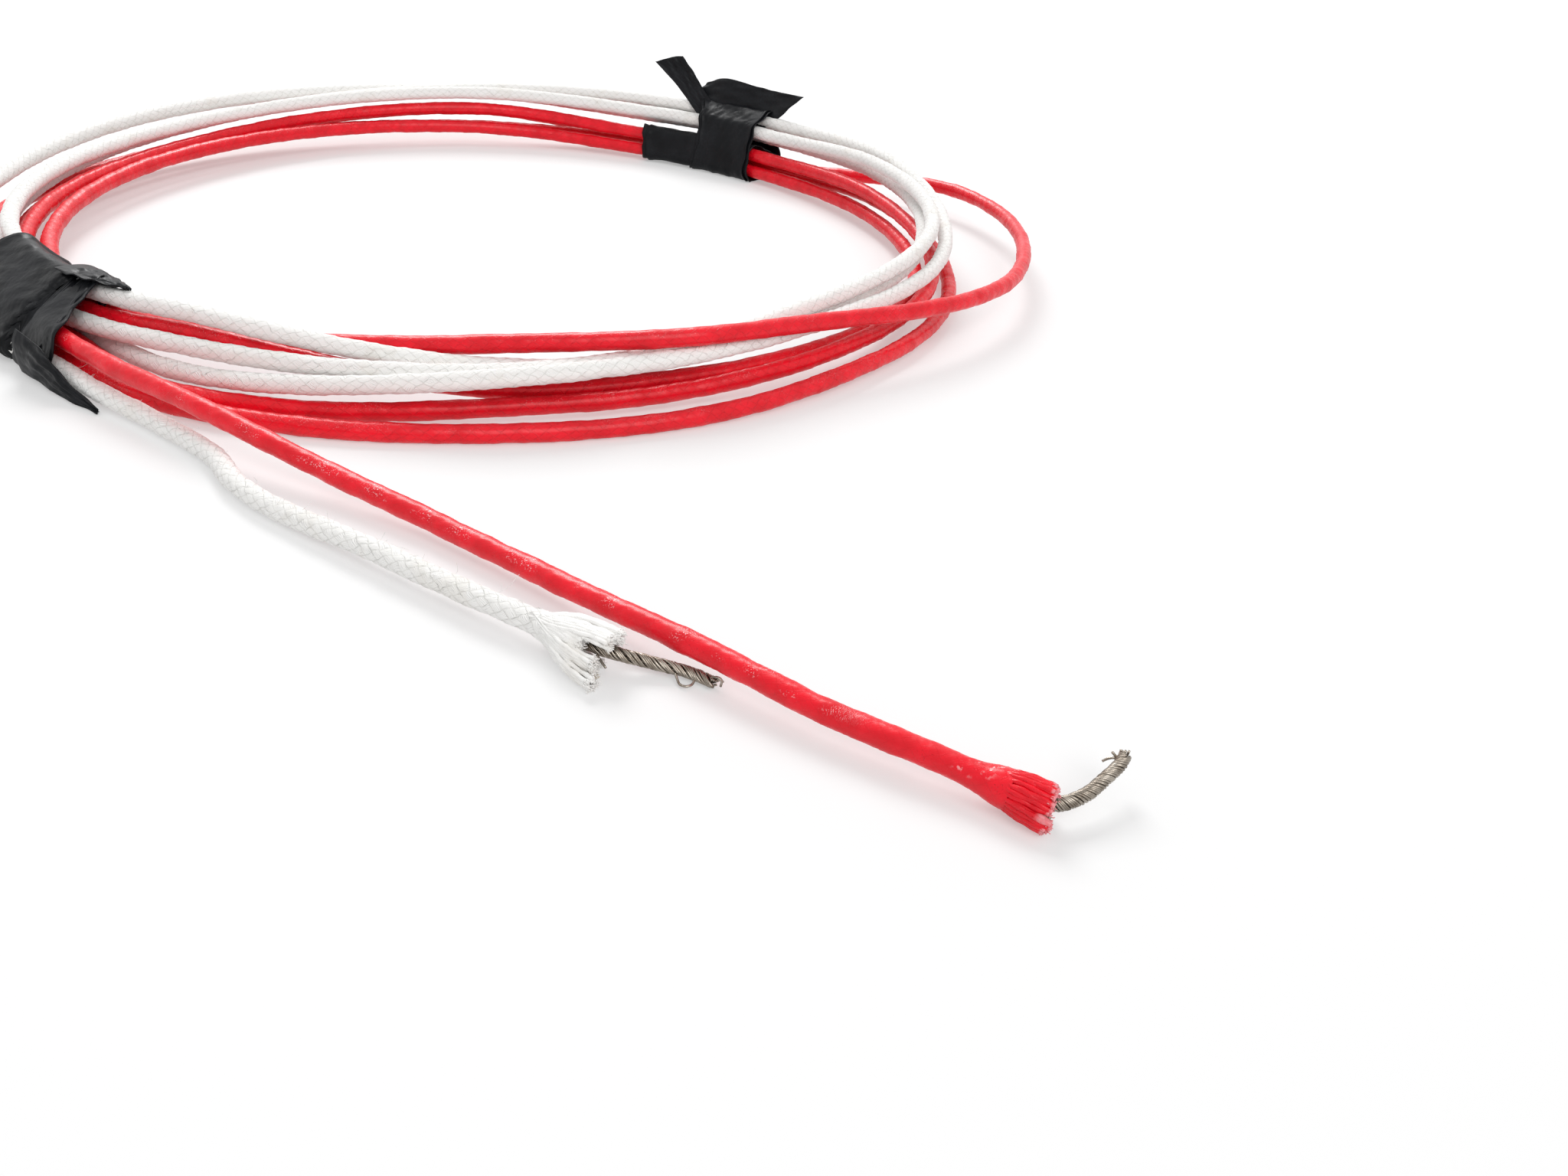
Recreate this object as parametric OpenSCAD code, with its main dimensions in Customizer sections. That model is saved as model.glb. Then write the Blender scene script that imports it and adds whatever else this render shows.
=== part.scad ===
// Small coil of two braided hook-up wires, one red and one white, held by two tape ties.
// Millimetres. The coil lies flat on z = 0 with its centre on the Z axis.
// Each wire runs: frayed free end, lead, left tie, turns round the ring, far end behind the left tie.

/* [Wire] */
// Outer diameter of the braid
wire_d = 1.9; // [1.7:0.05:1.9]
// Bore of the braid
bore_d = 1.15; // [1.12:0.01:1.3]
// Diameter of the twisted conductor
conductor_d = 1; // [0.8:0.05:1]

/* [Coil] */
// Radius on which the lanes are charted
coil_r = 57.5; // [55:0.5:65]
// Direction of the left tie, degrees from +X
left_angle = 222; // [200:1:240]
// Steps a turn is swept in
turn_steps = 24; // [24:12:48]

/* [Frayed ends] */
// Length of the opened braid on the red lead
red_fray_l = 8.4; // [6:0.2:9]
// Width across the mouth of the red fray
red_fray_d = 3.5; // [2.6:0.1:3.6]
// Strips the red braid has opened into
red_strips = 8; // [5:1:10]
// Length of the opened braid on the white lead
white_fray_l = 6.6; // [5:0.2:7]
// Width across the mouth of the white fray
white_fray_d = 3.5; // [2.6:0.1:3.6]
// Strips the white braid has opened into
white_strips = 7; // [5:1:10]
// Split between two strips
strip_gap = 0.3; // [0.2:0.05:0.4]

/* [Ties] */
// Width of the tape, along the wires
tape_w = 19; // [12:0.5:20]
// Thickness of the wound tape
wrap_t = 0.45; // [0.3:0.05:0.5]
// Air left between the tape and the wires
tie_air = 0.3; // [0.2:0.05:0.3]
// Thickness of a loose flap of tape
flap_t = 0.3; // [0.2:0.05:0.4]

/* [Hidden] */
coil_sides = 6;
lead_sides = 8;
loop_sides = 12;
$fn = 48;

// Lane chart. Stations are degrees clockwise from the middle of the left tie: mouth of the left tie,
// left, back left, rear tie in, rear tie out, right back, right, right front, front right,
// front, front left, other mouth of the left tie.
STATIONS = [12, 60, 112, 144, 168, 195, 228, 262, 281, 300, 330, 348];
REAR_IN = 144;
REAR_OUT = 168;
MOUTH = 12;
// Each turn: [distance outside coil_r, height of the wire's centre] at every station.
RED_TURNS = [
    // stray turn, which strays outward on the right and crosses back over the front
    [[4.7, 4.1], [3.1, 2.2], [1.4, 5.0], [1.3, 2.2], [1.3, 2.2], [13.5, 4.4],
     [10.5, 4.8], [-0.5, 6.8], [-1.5, 7.7], [-4.3, 6.8], [-4.4, 4.4], [-2.3, 3.4]],
    // innermost turn
    [[-2.3, 3.4], [-4.4, 3.8], [-3.5, 3.0], [-4.1, 1.7], [-4.1, 1.7], [-3.7, 2.2],
     [-2.5, 2.0], [-3.1, 2.4], [-3.9, 2.2], [-3.0, 2.5], [-2.2, 4.7], [0.1, 4.1]],
    // middle turn
    [[0.1, 4.1], [-1.9, 4.0], [-1.7, 5.6], [-3.7, 4.2], [-3.7, 4.2], [-3.5, 5.2],
     [-0.3, 3.6], [-1.1, 2.6], [-1.9, 1.6], [-0.8, 1.5], [3.6, 0.8], [2.4, 1.7]],
    // outermost turn, on the table at the front
    [[2.4, 1.7], [0.6, 2.7], [-1.0, 2.6], [-1.5, 2.2], [-1.5, 2.2], [-1.1, 3.6],
     [2.1, 1.6], [2.1, 1.4], [3.3, 1.0], [4.1, 0.8], [6.1, 0.8], [4.9, 1.7]]];
WHITE_TURNS = [
    [[7.2, 4.6], [3.5, 7.6], [3.7, 7.2], [0.1, 6.4], [0.1, 6.4], [-0.3, 7.0],
     [-2.5, 6.4], [-5.7, 4.8], [-5.1, 4.0], [-3.1, 4.8], [-1.9, 7.0], [-0.1, 6.5]],
    [[1.1, 6.6], [-0.6, 6.5], [-1.6, 8.1], [-2.7, 7.6], [-2.7, 7.6], [-2.1, 9.2],
     [-1.3, 8.9], [-4.5, 7.0], [-3.3, 5.6], [-0.6, 5.3], [0.3, 4.5], [2.4, 4.2]],
    [[2.4, 4.2], [1.8, 5.4], [0.9, 8.1], [-0.5, 9.0], [-0.5, 9.0], [0.4, 9.5],
     [0.7, 6.6], [-2.6, 5.8], [-1.3, 5.7], [1.3, 5.5], [1.7, 2.3], [0.1, 1.7]]];
// Where each lead enters the left tie, and where each far end leaves it
RED_ENTRY = [4.7, 4.1];
WHITE_ENTRY = [7.3, 1.7];
RED_EXIT = [4.9, 1.7];
WHITE_EXIT = [0.1, 1.7];
// Straight run of each far end past the mouth of the left tie, and the height it ends at
RED_TAIL = [10, 1.1];
WHITE_TAIL = [4, 1.6];
tail_bare = 1.5;

// Leads, laid out from the left tie's mouth: [along the way the wires leave it, outward, height].
// Free stretch of the red wire, from the left tie to where its braid opens
RED_LEAD = [[6.3, 5.6, 4.2], [16.1, 5.5, 4.2], [27.1, 4.4, 4], [36.5, 3, 3.2], [44.7, 1.5, 2.2],
            [54.6, 0, 1.6], [65.4, -0.7, 1.6], [75, -1, 1.9], [83, -1.3, 2.3], [90, -1.6, 2.3],
            [96.4, -2.1, 2.1], [104, -3.4, 2]];
// Bare conductor past the red braid
RED_TIP = [[109.6, -4.4, 1.7], [112.3, -5.3, 1.6], [113.4, -7.3, 1.7], [113.8, -9.3, 2.1],
           [114, -11.2, 2.5], [113.9, -12, 2.9]];
// Free stretch of the white wire, from the left tie to where its braid opens
WHITE_LEAD = [[6.4, 6.8, 1.6], [12.2, 6.7, 1.4], [23.4, 5.8, 1], [32.4, 5.8, 1], [38.7, 7.2, 1],
              [43.6, 7.4, 1], [49.5, 6.9, 1.2], [56.7, 6.1, 1.5], [63.8, 5.4, 1.6], [73.2, 4.3, 1.8]];
WHITE_TIP = [[76.6, 3.8, 1.8], [79.7, 2.8, 1.5], [82.4, 1.1, 1], [84.9, -0.4, 0.6], [87.1, -0.8, 0.55]];

// Outlines of loose tape, in tape widths: [along the ring, up or outward]
FREE_CORNER = [[-0.16, 0.04], [-0.5, 0.2], [-0.47, 0.25], [-0.42, 0.25], [-0.24, 0.13]];
CRUMPLED_EDGE = [[-0.35, 0.1], [-0.16, 0.15], [0.05, 0.13], [0.5, 0.12], [0.5, 0.08]];
CUT_END = [[-0.03, 0.06], [-0.03, 0.28], [0.25, 0.12], [0.55, 0.03], [0.55, 0.01], [0.25, 0.01]];
CORNER_OUT = [0, 0.21, 0.16, -0.05, -0.05];
// Station of the left tie's middle: its tape sits toward the leads
LEFT_TIE_AT = -7;

// ---- Lanes -------------------------------------------------------------------------------------

// Chart of a whole wire as [station, lane], its entry and its exit added
function chart(turns, entry, exit) = concat(
    [[-MOUTH, entry]],
    [for (t = [0:len(turns) - 1]) for (i = [0:len(STATIONS) - 1])
        [360 * t + STATIONS[i], turns[t][i]]],
    [[360 * len(turns) + MOUTH, exit]]);

// Wires run level through the rear tie and past the ends of the chart
function is_level(s) = s % 360 == REAR_IN || s % 360 == REAR_OUT;
function slope(c, i) =
    i == 0 || i == len(c) - 1 || is_level(c[i][0]) ? [0, 0]
    : (c[i + 1][1] - c[i - 1][1]) / (c[i + 1][0] - c[i - 1][0]);
function span_of(c, s, i = 0) = i >= len(c) - 2 || s < c[i + 1][0] ? i : span_of(c, s, i + 1);

// Lane at station s: a smooth curve through the charted values
function lane(c, s) =
    let (i = span_of(c, s), h = c[i + 1][0] - c[i][0], t = (s - c[i][0]) / h)
    (2 * t ^ 3 - 3 * t ^ 2 + 1) * c[i][1] + (t ^ 3 - 2 * t ^ 2 + t) * h * slope(c, i)
    + (3 * t ^ 2 - 2 * t ^ 3) * c[i + 1][1] + (t ^ 3 - t ^ 2) * h * slope(c, i + 1);

function on_ring(lane, s) =
    let (a = left_angle - s, r = coil_r + lane[0])
    [r * cos(a), r * sin(a), lane[1]];
function clockwise(s) = [sin(left_angle - s), -cos(left_angle - s), 0];

// Every turn of one wire, from the middle of the left tie round to its far end
function coil_path(turns, entry, exit, tail) =
    let (c = chart(turns, entry, exit), last = 360 * len(turns) + MOUTH,
         mouth = on_ring(exit, last))
    concat(start(c, 1),
           [for (k = [1:turn_steps * len(turns)])
                let (s = 360 * k / turn_steps) on_ring(lane(c, s), s)],
           [mouth, at_height(mouth + tail[0] * clockwise(last), tail[1])]);
function at_height(p, z) = [p[0], p[1], z];
// Coil and lead meet in the middle of the left tie, square to one straight run
function start(c, way) =
    let (p = on_ring(lane(c, 0), 0)) [p, p + way * wire_d * clockwise(0)];

// ---- Leads -------------------------------------------------------------------------------------

// A lead keeps its shape, and goes where the left tie goes
function from_tie(p) =
    let (a = left_angle + MOUTH)
    [(coil_r + p[1]) * cos(a) - p[0] * sin(a), (coil_r + p[1]) * sin(a) + p[0] * cos(a), p[2]];
function halfway(p, i) =
    i == 0 || i >= len(p) - 2 ? (p[i] + p[i + 1]) / 2
    : (9 * (p[i] + p[i + 1]) - p[i - 1] - p[i + 2]) / 16;
function smoothed(p) = concat(
    [for (i = [0:len(p) - 2]) for (q = [p[i], halfway(p, i)]) q], [p[len(p) - 1]]);
function lead_path(turns, entry, exit, points) =
    let (c = chart(turns, entry, exit))
    concat(start(c, -1), [for (s = [-7, -MOUTH]) on_ring(lane(c, s), s)],
           smoothed([for (p = points) from_tie(p)]));
function backwards(p) = [for (i = [len(p) - 1:-1:0]) p[i]];

// ---- Sweeps ------------------------------------------------------------------------------------

function unit(v) = v / norm(v);
function heading(p, i) = unit(p[min(i + 1, len(p) - 1)] - p[max(i - 1, 0)]);
function ring(p, i, d, n) =
    let (t = heading(p, i), u = unit(cross([0, 0, 1], t)), v = cross(t, u))
    [for (k = [0:n - 1]) p[i] + d / 2 * (cos(360 * k / n) * u + sin(360 * k / n) * v)];
function quad(a, b, c, d) = [[a, c, b], [a, d, c]];
// Side faces of a tube of m rings with n sides, its first point at index z
function side(m, n, z, out) = [
    for (i = [0:m - 2]) for (k = [0:n - 1])
        let (a = z + i * n + k, b = z + i * n + (k + 1) % n, c = b + n, d = a + n)
        for (f = out ? quad(a, b, c, d) : quad(a, d, c, b)) f];

// Solid rod along a path
module rod(p, d, n) {
    m = len(p);
    points = [for (i = [0:m - 1]) for (q = ring(p, i, d, n)) q];
    caps = [[for (k = [0:n - 1]) k], [for (k = [n - 1:-1:0]) (m - 1) * n + k]];
    polyhedron(points, concat(side(m, n, 0, true), caps), convexity = 20);
}

// Hollow braid along a path, cut flat where it lies on the table
module braid(p, n) {
    m = len(p);
    z = m * n;
    outer = [for (i = [0:m - 1]) for (q = ring(p, i, wire_d, n)) q];
    inner = [for (i = [0:m - 1]) for (q = ring(p, i, bore_d, n)) q];
    first = [for (k = [0:n - 1]) let (j = (k + 1) % n) for (f = quad(k, z + k, z + j, j)) f];
    last = [for (k = [0:n - 1]) let (j = (k + 1) % n, e = z - n, g = 2 * z - n)
        for (f = quad(e + k, e + j, g + j, g + k)) f];
    difference() {
        polyhedron(concat(outer, inner), concat(side(m, n, 0, true), side(m, n, z, false), first, last),
                   convexity = 20);
        translate([-150, -150, -10])
            cube([300, 300, 10]);
    }
}

// Places children at the end of a path, their Z axis along it
module at_end(p) {
    v = heading(p, len(p) - 1);
    translate(p[len(p) - 1])
        rotate([0, acos(v[2]), atan2(v[1], v[0])])
            children();
}

// Braid opened into a trumpet of strips
module fray(l, mouth_d, strips) {
    root = 0.3 * l;
    difference() {
        rotate_extrude()
            polygon([[bore_d / 2, 0], [wire_d / 2, 0], [wire_d / 2 + 0.05, root], [mouth_d / 2, l],
                     [mouth_d / 2 - strip_gap, l], [bore_d / 2 + 0.05, root]]);
        for (k = [0:strips - 1])
            rotate(360 * (k + 0.5) / strips)
                translate([0, -strip_gap / 2, root + 0.5])
                    cube([mouth_d, strip_gap, l]);
    }
}

// ---- Wires -------------------------------------------------------------------------------------

red_coil = coil_path(RED_TURNS, RED_ENTRY, RED_EXIT, RED_TAIL);
white_coil = coil_path(WHITE_TURNS, WHITE_ENTRY, WHITE_EXIT, WHITE_TAIL);
red_lead = lead_path(RED_TURNS, RED_ENTRY, RED_EXIT, RED_LEAD);
white_lead = lead_path(WHITE_TURNS, WHITE_ENTRY, WHITE_EXIT, WHITE_LEAD);

// Far end, turns, lead and bare tip of one conductor
function conductor_path(coil, lead, tip) =
    let (m = len(coil), end = coil[m - 1], out = unit(end - coil[m - 2]))
    concat([end + tail_bare * out], backwards(coil), [for (i = [1:len(lead) - 1]) lead[i]],
           [for (p = tip) from_tie(p)]);

module red_braid_coil() {
    color("firebrick")
        braid(red_coil, coil_sides);
}

module red_braid_lead() {
    color("firebrick")
        braid(red_lead, lead_sides);
}

module red_lead_fray() {
    color("crimson")
        at_end(red_lead)
            fray(red_fray_l, red_fray_d, red_strips);
}

module red_conductor() {
    color("darkgray")
        rod(conductor_path(red_coil, red_lead, RED_TIP), conductor_d, coil_sides);
}

module white_braid_coil() {
    color("ghostwhite")
        braid(white_coil, coil_sides);
}

module white_braid_lead() {
    color("ghostwhite")
        braid(white_lead, lead_sides);
}

module white_lead_fray() {
    color("white")
        at_end(white_lead)
            fray(white_fray_l, white_fray_d, white_strips);
}

module white_conductor() {
    color("darkgray")
        rod(conductor_path(white_coil, white_lead, WHITE_TIP), conductor_d, coil_sides);
}

// ---- Ties --------------------------------------------------------------------------------------

// Degrees of the ring that a length along it takes
function degrees(l) = l / coil_r * 180 / PI;
// The turns are swept in straight steps, whose middles lie this far inside their lane
step_sag = coil_r * (1 - cos(180 / turn_steps));

// Every lane that passes station s
function lanes_at(s) = [
    for (c = [chart(RED_TURNS, RED_ENTRY, RED_EXIT), chart(WHITE_TURNS, WHITE_ENTRY, WHITE_EXIT)])
        for (q = c) if (abs((q[0] - s + 540) % 360 - 180) <= MOUTH) q[1]];
// Lanes of the turns at a station -s, before the left tie
function passes(s) = [
    for (c = [chart(RED_TURNS, RED_ENTRY, RED_EXIT), chart(WHITE_TURNS, WHITE_ENTRY, WHITE_EXIT)])
        for (q = [360 - s:360:c[len(c) - 1][0]]) lane(c, q)];

// Section of tape pulled round those lanes: a many-sided loop, each side just clear of the wires
function far_out(lanes, a, clear) =
    max([for (q = lanes) q[0] * cos(a) + q[1] * sin(a)]) + clear + (cos(a) < 0 ? -cos(a) * step_sag : 0);
function loop_section(lanes, clear) = [
    for (k = [0:loop_sides - 1])
        let (turn = 360 / loop_sides, a = k * turn, b = a + turn,
             d = far_out(lanes, a, clear), e = far_out(lanes, b, clear))
        [coil_r, 0] + [d * sin(b) - e * sin(a), e * cos(a) - d * cos(b)] / sin(turn)];
function loop_top(lanes) = far_out(lanes, 90, wire_d / 2 + tie_air + wrap_t);

// Tape wound round those lanes, centred on station s
module wrap(s, width, lanes) {
    clear = wire_d / 2 + tie_air;
    rotate(left_angle - s - degrees(width) / 2)
        rotate_extrude(angle = degrees(width), $fn = 180)
            difference() {
                polygon(loop_section(lanes, clear + wrap_t));
                polygon(loop_section(lanes, clear));
            }
}

// Upright panel of tape at station s, its foot sunk in the wound tape whose top is at a height of top.
// foot: where it starts and ends along the ring, in tape widths, and how many thicknesses deep it is.
module upright(s, out, top, foot, outline) {
    translate(on_ring([out, top], s))
        rotate([90, 0, left_angle - s - 90])
            linear_extrude(flap_t)
                polygon(concat([[foot[1] * tape_w, -foot[2] * wrap_t], [foot[0] * tape_w, -foot[2] * wrap_t]],
                               tape_w * outline));
}

module left_tie() {
    mouth = degrees(tape_w) / 2 - LEFT_TIE_AT;
    corner = degrees(0.15 * tape_w);
    // the lowest wires are held level with where they leave the tape
    lanes = concat(lanes_at(0), [for (q = passes(mouth)) [q[0], max(q[1], RED_EXIT[1])]]);
    corner_at = [2 - mouth, 1 - mouth, -mouth, -mouth - corner, -mouth];
    color("#2c2e33") {
        wrap(LEFT_TIE_AT, tape_w, lanes);
        // corner of the tape, pointing along the wires
        translate([0, 0, loop_top(lanes) - flap_t])
            linear_extrude(flap_t)
                polygon([for (k = [0:len(CORNER_OUT) - 1])
                    let (p = on_ring([tape_w * CORNER_OUT[k], 0], corner_at[k])) [p[0], p[1]]]);
        // cut end of the tape, trailing along the outer wire
        translate(on_ring([WHITE_ENTRY[0] + 0.9 * wire_d, 0], -mouth))
            rotate([90, 0, left_angle + MOUTH + 92])
                translate([0, 0, -flap_t])
                    linear_extrude(flap_t)
                        polygon(tape_w * CUT_END);
    }
}

// Wound at a slant, so that its top is narrower than its foot
module rear_tie() {
    width = 1.16 * tape_w;
    middle = (REAR_IN + REAR_OUT) / 2;
    shifted = middle - 0.8;
    lanes = lanes_at(middle);
    top = loop_top(lanes);
    color("#26282c") {
        difference() {
            wrap(shifted, width, lanes);
            // the tape has slipped back from the upper left
            rotate(left_angle - shifted + degrees(width) / 2 - 8)
                translate([coil_r - tape_w, 0, 0.6 * top])
                    cube([2 * tape_w, tape_w, tape_w]);
        }
        // free corner, standing up toward the left
        upright(shifted - 1, -0.1, top, [-0.05, 0.13, 1], FREE_CORNER);
        // crumpled upper edge, pointing to the right
        upright(shifted + 4, 0.9, top, [-0.32, 0.24, 1.8], CRUMPLED_EDGE);
    }
}

// ---- Checks ------------------------------------------------------------------------------------

// Least air between two turns of one wire, measured at the rings of neighbouring turns
function least_air(c, turns) = min([
    for (s = [MOUTH:3:360 * (turns - 1) - MOUTH]) for (t = [1:turns - 1])
        if (s + 360 * t <= 360 * turns - MOUTH)
            norm(lane(c, s) - lane(c, s + 360 * t))]) - wire_d;
echo(red_air = least_air(chart(RED_TURNS, RED_ENTRY, RED_EXIT), len(RED_TURNS)),
     white_air = least_air(chart(WHITE_TURNS, WHITE_ENTRY, WHITE_EXIT), len(WHITE_TURNS)));

red_braid_coil();
red_braid_lead();
red_lead_fray();
red_conductor();
white_braid_coil();
white_braid_lead();
white_lead_fray();
white_conductor();
left_tie();
rear_tie();
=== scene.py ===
"""Looks of a small coil of braided hook-up wire, one red and one white, held by two tape ties.

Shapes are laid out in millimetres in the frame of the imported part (Z up, the ring's centre on the Z
axis, the surface that the coil lies on at z = 0) and become metres when a mesh is made.
"""

from __future__ import annotations

import logging
import math
from dataclasses import dataclass, field
from enum import Enum

import bpy
import numpy as np
from mathutils import Matrix

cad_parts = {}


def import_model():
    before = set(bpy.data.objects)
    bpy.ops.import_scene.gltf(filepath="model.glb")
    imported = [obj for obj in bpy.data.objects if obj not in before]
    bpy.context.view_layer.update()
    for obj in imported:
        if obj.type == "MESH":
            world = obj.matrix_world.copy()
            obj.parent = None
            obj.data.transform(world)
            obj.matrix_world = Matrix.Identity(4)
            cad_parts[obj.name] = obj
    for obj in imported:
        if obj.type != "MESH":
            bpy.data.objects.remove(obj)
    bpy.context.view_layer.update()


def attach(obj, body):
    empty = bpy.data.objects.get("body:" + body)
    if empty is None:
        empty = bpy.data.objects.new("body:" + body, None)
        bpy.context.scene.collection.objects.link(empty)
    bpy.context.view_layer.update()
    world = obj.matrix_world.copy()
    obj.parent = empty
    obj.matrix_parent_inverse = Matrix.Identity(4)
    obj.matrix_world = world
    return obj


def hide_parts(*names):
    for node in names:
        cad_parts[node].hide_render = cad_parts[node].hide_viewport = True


LOG = logging.getLogger("wire_coil")
BODY = "root"
LAY_MAP = "Lay"  # U runs along a yarn or wire in millimetres, V goes once round it
BAKE_MAP = "OFBake"
BAKE_ROWS = 16
BAKE_GAP = 0.06  # share of each row of the bake map that stays empty
MM = 0.001
TAU = 2 * np.pi
UP = np.array([0.0, 0.0, 1.0])
WHITE = (1.0, 1.0, 1.0, 1.0)
WIRE_DIAMETER = 1.9
WIRE_RADIUS = WIRE_DIAMETER / 2
CONDUCTOR_RADIUS = 0.5
STRAND_RADIUS = 0.098
STRAY_RADIUS = 0.095
FUZZ_RADIUS = 0.016
# Least heights of what lies on the surface, most of them of a thin thing's middle.
STRIP_HEIGHT = 0.2
TAPE_HEIGHT = 0.06
LOOP_HEIGHT = 0.05
STRAY_HEIGHT = 0.12
FUZZ_HEIGHT = 0.08
TUFT_HEIGHT = 0.06
TAPE = 0.14  # thickness of the tape
CARRIERS = 6  # yarn carriers each way round a braid
BRAID_LAY = 8.4  # how far a carrier runs on while it goes round once


class Wear(float, Enum):
    """What the tip attribute says of a braid's yarn at a place."""

    COILED = -0.2
    WHOLE = 0.0
    NEAR_END = 0.25  # near the opened end, where the red braid's painted glints grow bigger
    LOOSE = 0.4
    CUT = 1.0
    BROWNED = 2.0


def settled(thing: object, **settings: object) -> object:
    """Sets a thing's attributes.

    Args:
        thing: What they are set on.
        settings: Their values by name.

    Returns:
        The thing.
    """
    for name, value in settings.items():
        setattr(thing, name, value)
    return thing


def put(
    name: str, data: bpy.types.ID, axes: np.ndarray = np.eye(3), place: tuple = (0, 0, 0)
) -> bpy.types.Object:
    """Puts an object in the scene.

    Args:
        name: Its name.
        data: Its mesh, camera or lamp.
        axes: Which way its own X, Y and Z point, one a row.
        place: Its origin, in metres.

    Returns:
        The object.
    """
    matrix = Matrix.Identity(4)
    for row in range(3):
        matrix[row][:] = (*(axis[row] for axis in axes), place[row])
    thing = settled(bpy.data.objects.new(name, data), matrix_world=matrix)
    bpy.context.scene.collection.objects.link(thing)
    return thing


# ---- Curves ----


def unit(vectors: np.ndarray) -> np.ndarray:
    """Scales one vector, or each row of several, to a length of one."""
    return vectors / np.maximum(np.linalg.norm(vectors, axis=-1, keepdims=True), 1e-12)


def smooth_step(low: float, high: float, values: np.ndarray) -> np.ndarray:
    """Rises smoothly from 0 at low to 1 at high."""
    t = np.clip((values - low) / (high - low), 0.0, 1.0)
    return t * t * (3.0 - 2.0 * t)


def waves(values: np.ndarray, lengths: tuple, rng: np.random.Generator) -> np.ndarray:
    """Adds sine waves of the given lengths, each with a random phase, to a sum within -1 and 1."""
    total = sum(np.sin(TAU * (values / length + rng.random())) for length in lengths)
    return total / len(lengths)


def distances(path: np.ndarray) -> np.ndarray:
    """Gives the distance run along a path at each of its points."""
    return np.concatenate([[0.0], np.cumsum(np.linalg.norm(np.diff(path, axis=0), axis=1))])


def lifted(path: np.ndarray, least: float) -> np.ndarray:
    """Lifts the points of a path that are lower than the least height."""
    return np.column_stack([path[:, :2], np.maximum(path[:, 2], least)])


def inner_slopes(knots: np.ndarray, values: np.ndarray) -> np.ndarray:
    """Gives each row's slope from the rows on both sides of it, and 0 at the two ends."""
    inner = (values[2:] - values[:-2]) / (knots[2:] - knots[:-2])[:, None]
    return np.pad(inner, ((1, 1), (0, 0)))


def hermite(
    knots: np.ndarray, values: np.ndarray, slopes: np.ndarray, where: np.ndarray
) -> np.ndarray:
    """Reads a smooth curve.

    Args:
        knots: Where its values are given, in rising order.
        values: A row for each knot.
        slopes: How fast they change there.
        where: Where it is read.

    Returns:
        A row for each place.
    """
    i = np.clip(np.searchsorted(knots, where, side="right") - 1, 0, len(knots) - 2)
    h = (knots[i + 1] - knots[i])[:, None]
    t = (where - knots[i])[:, None] / h
    return (
        (2 * t**3 - 3 * t**2 + 1) * values[i]
        + (t**3 - 2 * t**2 + t) * h * slopes[i]
        + (3 * t**2 - 2 * t**3) * values[i + 1]
        + (t**3 - t**2) * h * slopes[i + 1]
    )


class Spline:
    """A smooth curve through points, one a row, with a parameter that follows its chords."""

    def __init__(self, points: np.ndarray) -> None:
        """Works out the curve's slope at each point.

        Args:
            points: The points, one a row.
        """
        self.points = np.asarray(points, float)
        self.knots = distances(self.points)
        self.slopes = inner_slopes(self.knots, self.points)
        self.slopes[[0, -1]] = unit(np.diff(self.points, axis=0)[[0, -1]])

    def spread(self, count: int) -> np.ndarray:
        """Gives so many points on the curve, even in its parameter."""
        where = np.linspace(0, self.knots[-1], count)
        return hermite(self.knots, self.points, self.slopes, where)

    def even(self, step: float) -> np.ndarray:
        """Gives points an even distance apart along the curve.

        Args:
            step: About how far apart they are.

        Returns:
            The points, one a row.
        """
        fine = self.spread(max(16, int(4 * self.knots[-1] / step)))
        run = distances(fine)
        even = np.linspace(0, run[-1], max(2, int(round(run[-1] / step)) + 1))
        return np.stack([np.interp(even, run, fine[:, k]) for k in range(3)], axis=1)


@dataclass(frozen=True)
class Heading:
    """Directions at each point of a path: along it, to its side, and up across it."""

    along: np.ndarray
    side: np.ndarray
    up: np.ndarray

    @classmethod
    def of(cls, path: np.ndarray, upward: np.ndarray = UP) -> Heading:
        """Works the directions out.

        Args:
            path: Points along the path.
            upward: What counts as up, for all points or for each.

        Returns:
            The directions.
        """
        along = unit(np.gradient(path, axis=0))
        side = unit(np.cross(np.broadcast_to(upward, along.shape), along))
        return cls(along, side, np.cross(along, side))


def tube_rings(
    path: np.ndarray, radius: np.ndarray, sides: int, upward: np.ndarray = UP
) -> np.ndarray:
    """Places the rings of a tube's skin.

    Args:
        path: The tube's centreline.
        radius: One number for each ring, or one for each of its points too.
        sides: Points on a ring.
        upward: What counts as up across the path; a ring starts from its side and goes up first.

    Returns:
        Points by ring and by place round it.
    """
    at = Heading.of(path, upward)
    turn = np.linspace(0, TAU, sides, endpoint=False)
    radius = radius[:, None] if radius.ndim == 1 else radius
    flat = (radius * np.cos(turn))[:, :, None] * at.side[:, None]
    return path[:, None] + flat + (radius * np.sin(turn))[:, :, None] * at.up[:, None]


def widened(path: np.ndarray, rings: np.ndarray, share: np.ndarray) -> np.ndarray:
    """Scales each of a tube's rings about the path."""
    return path[:, None] + (rings - path[:, None]) * share[:, None, None]


# ---- Meshes ----


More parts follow.
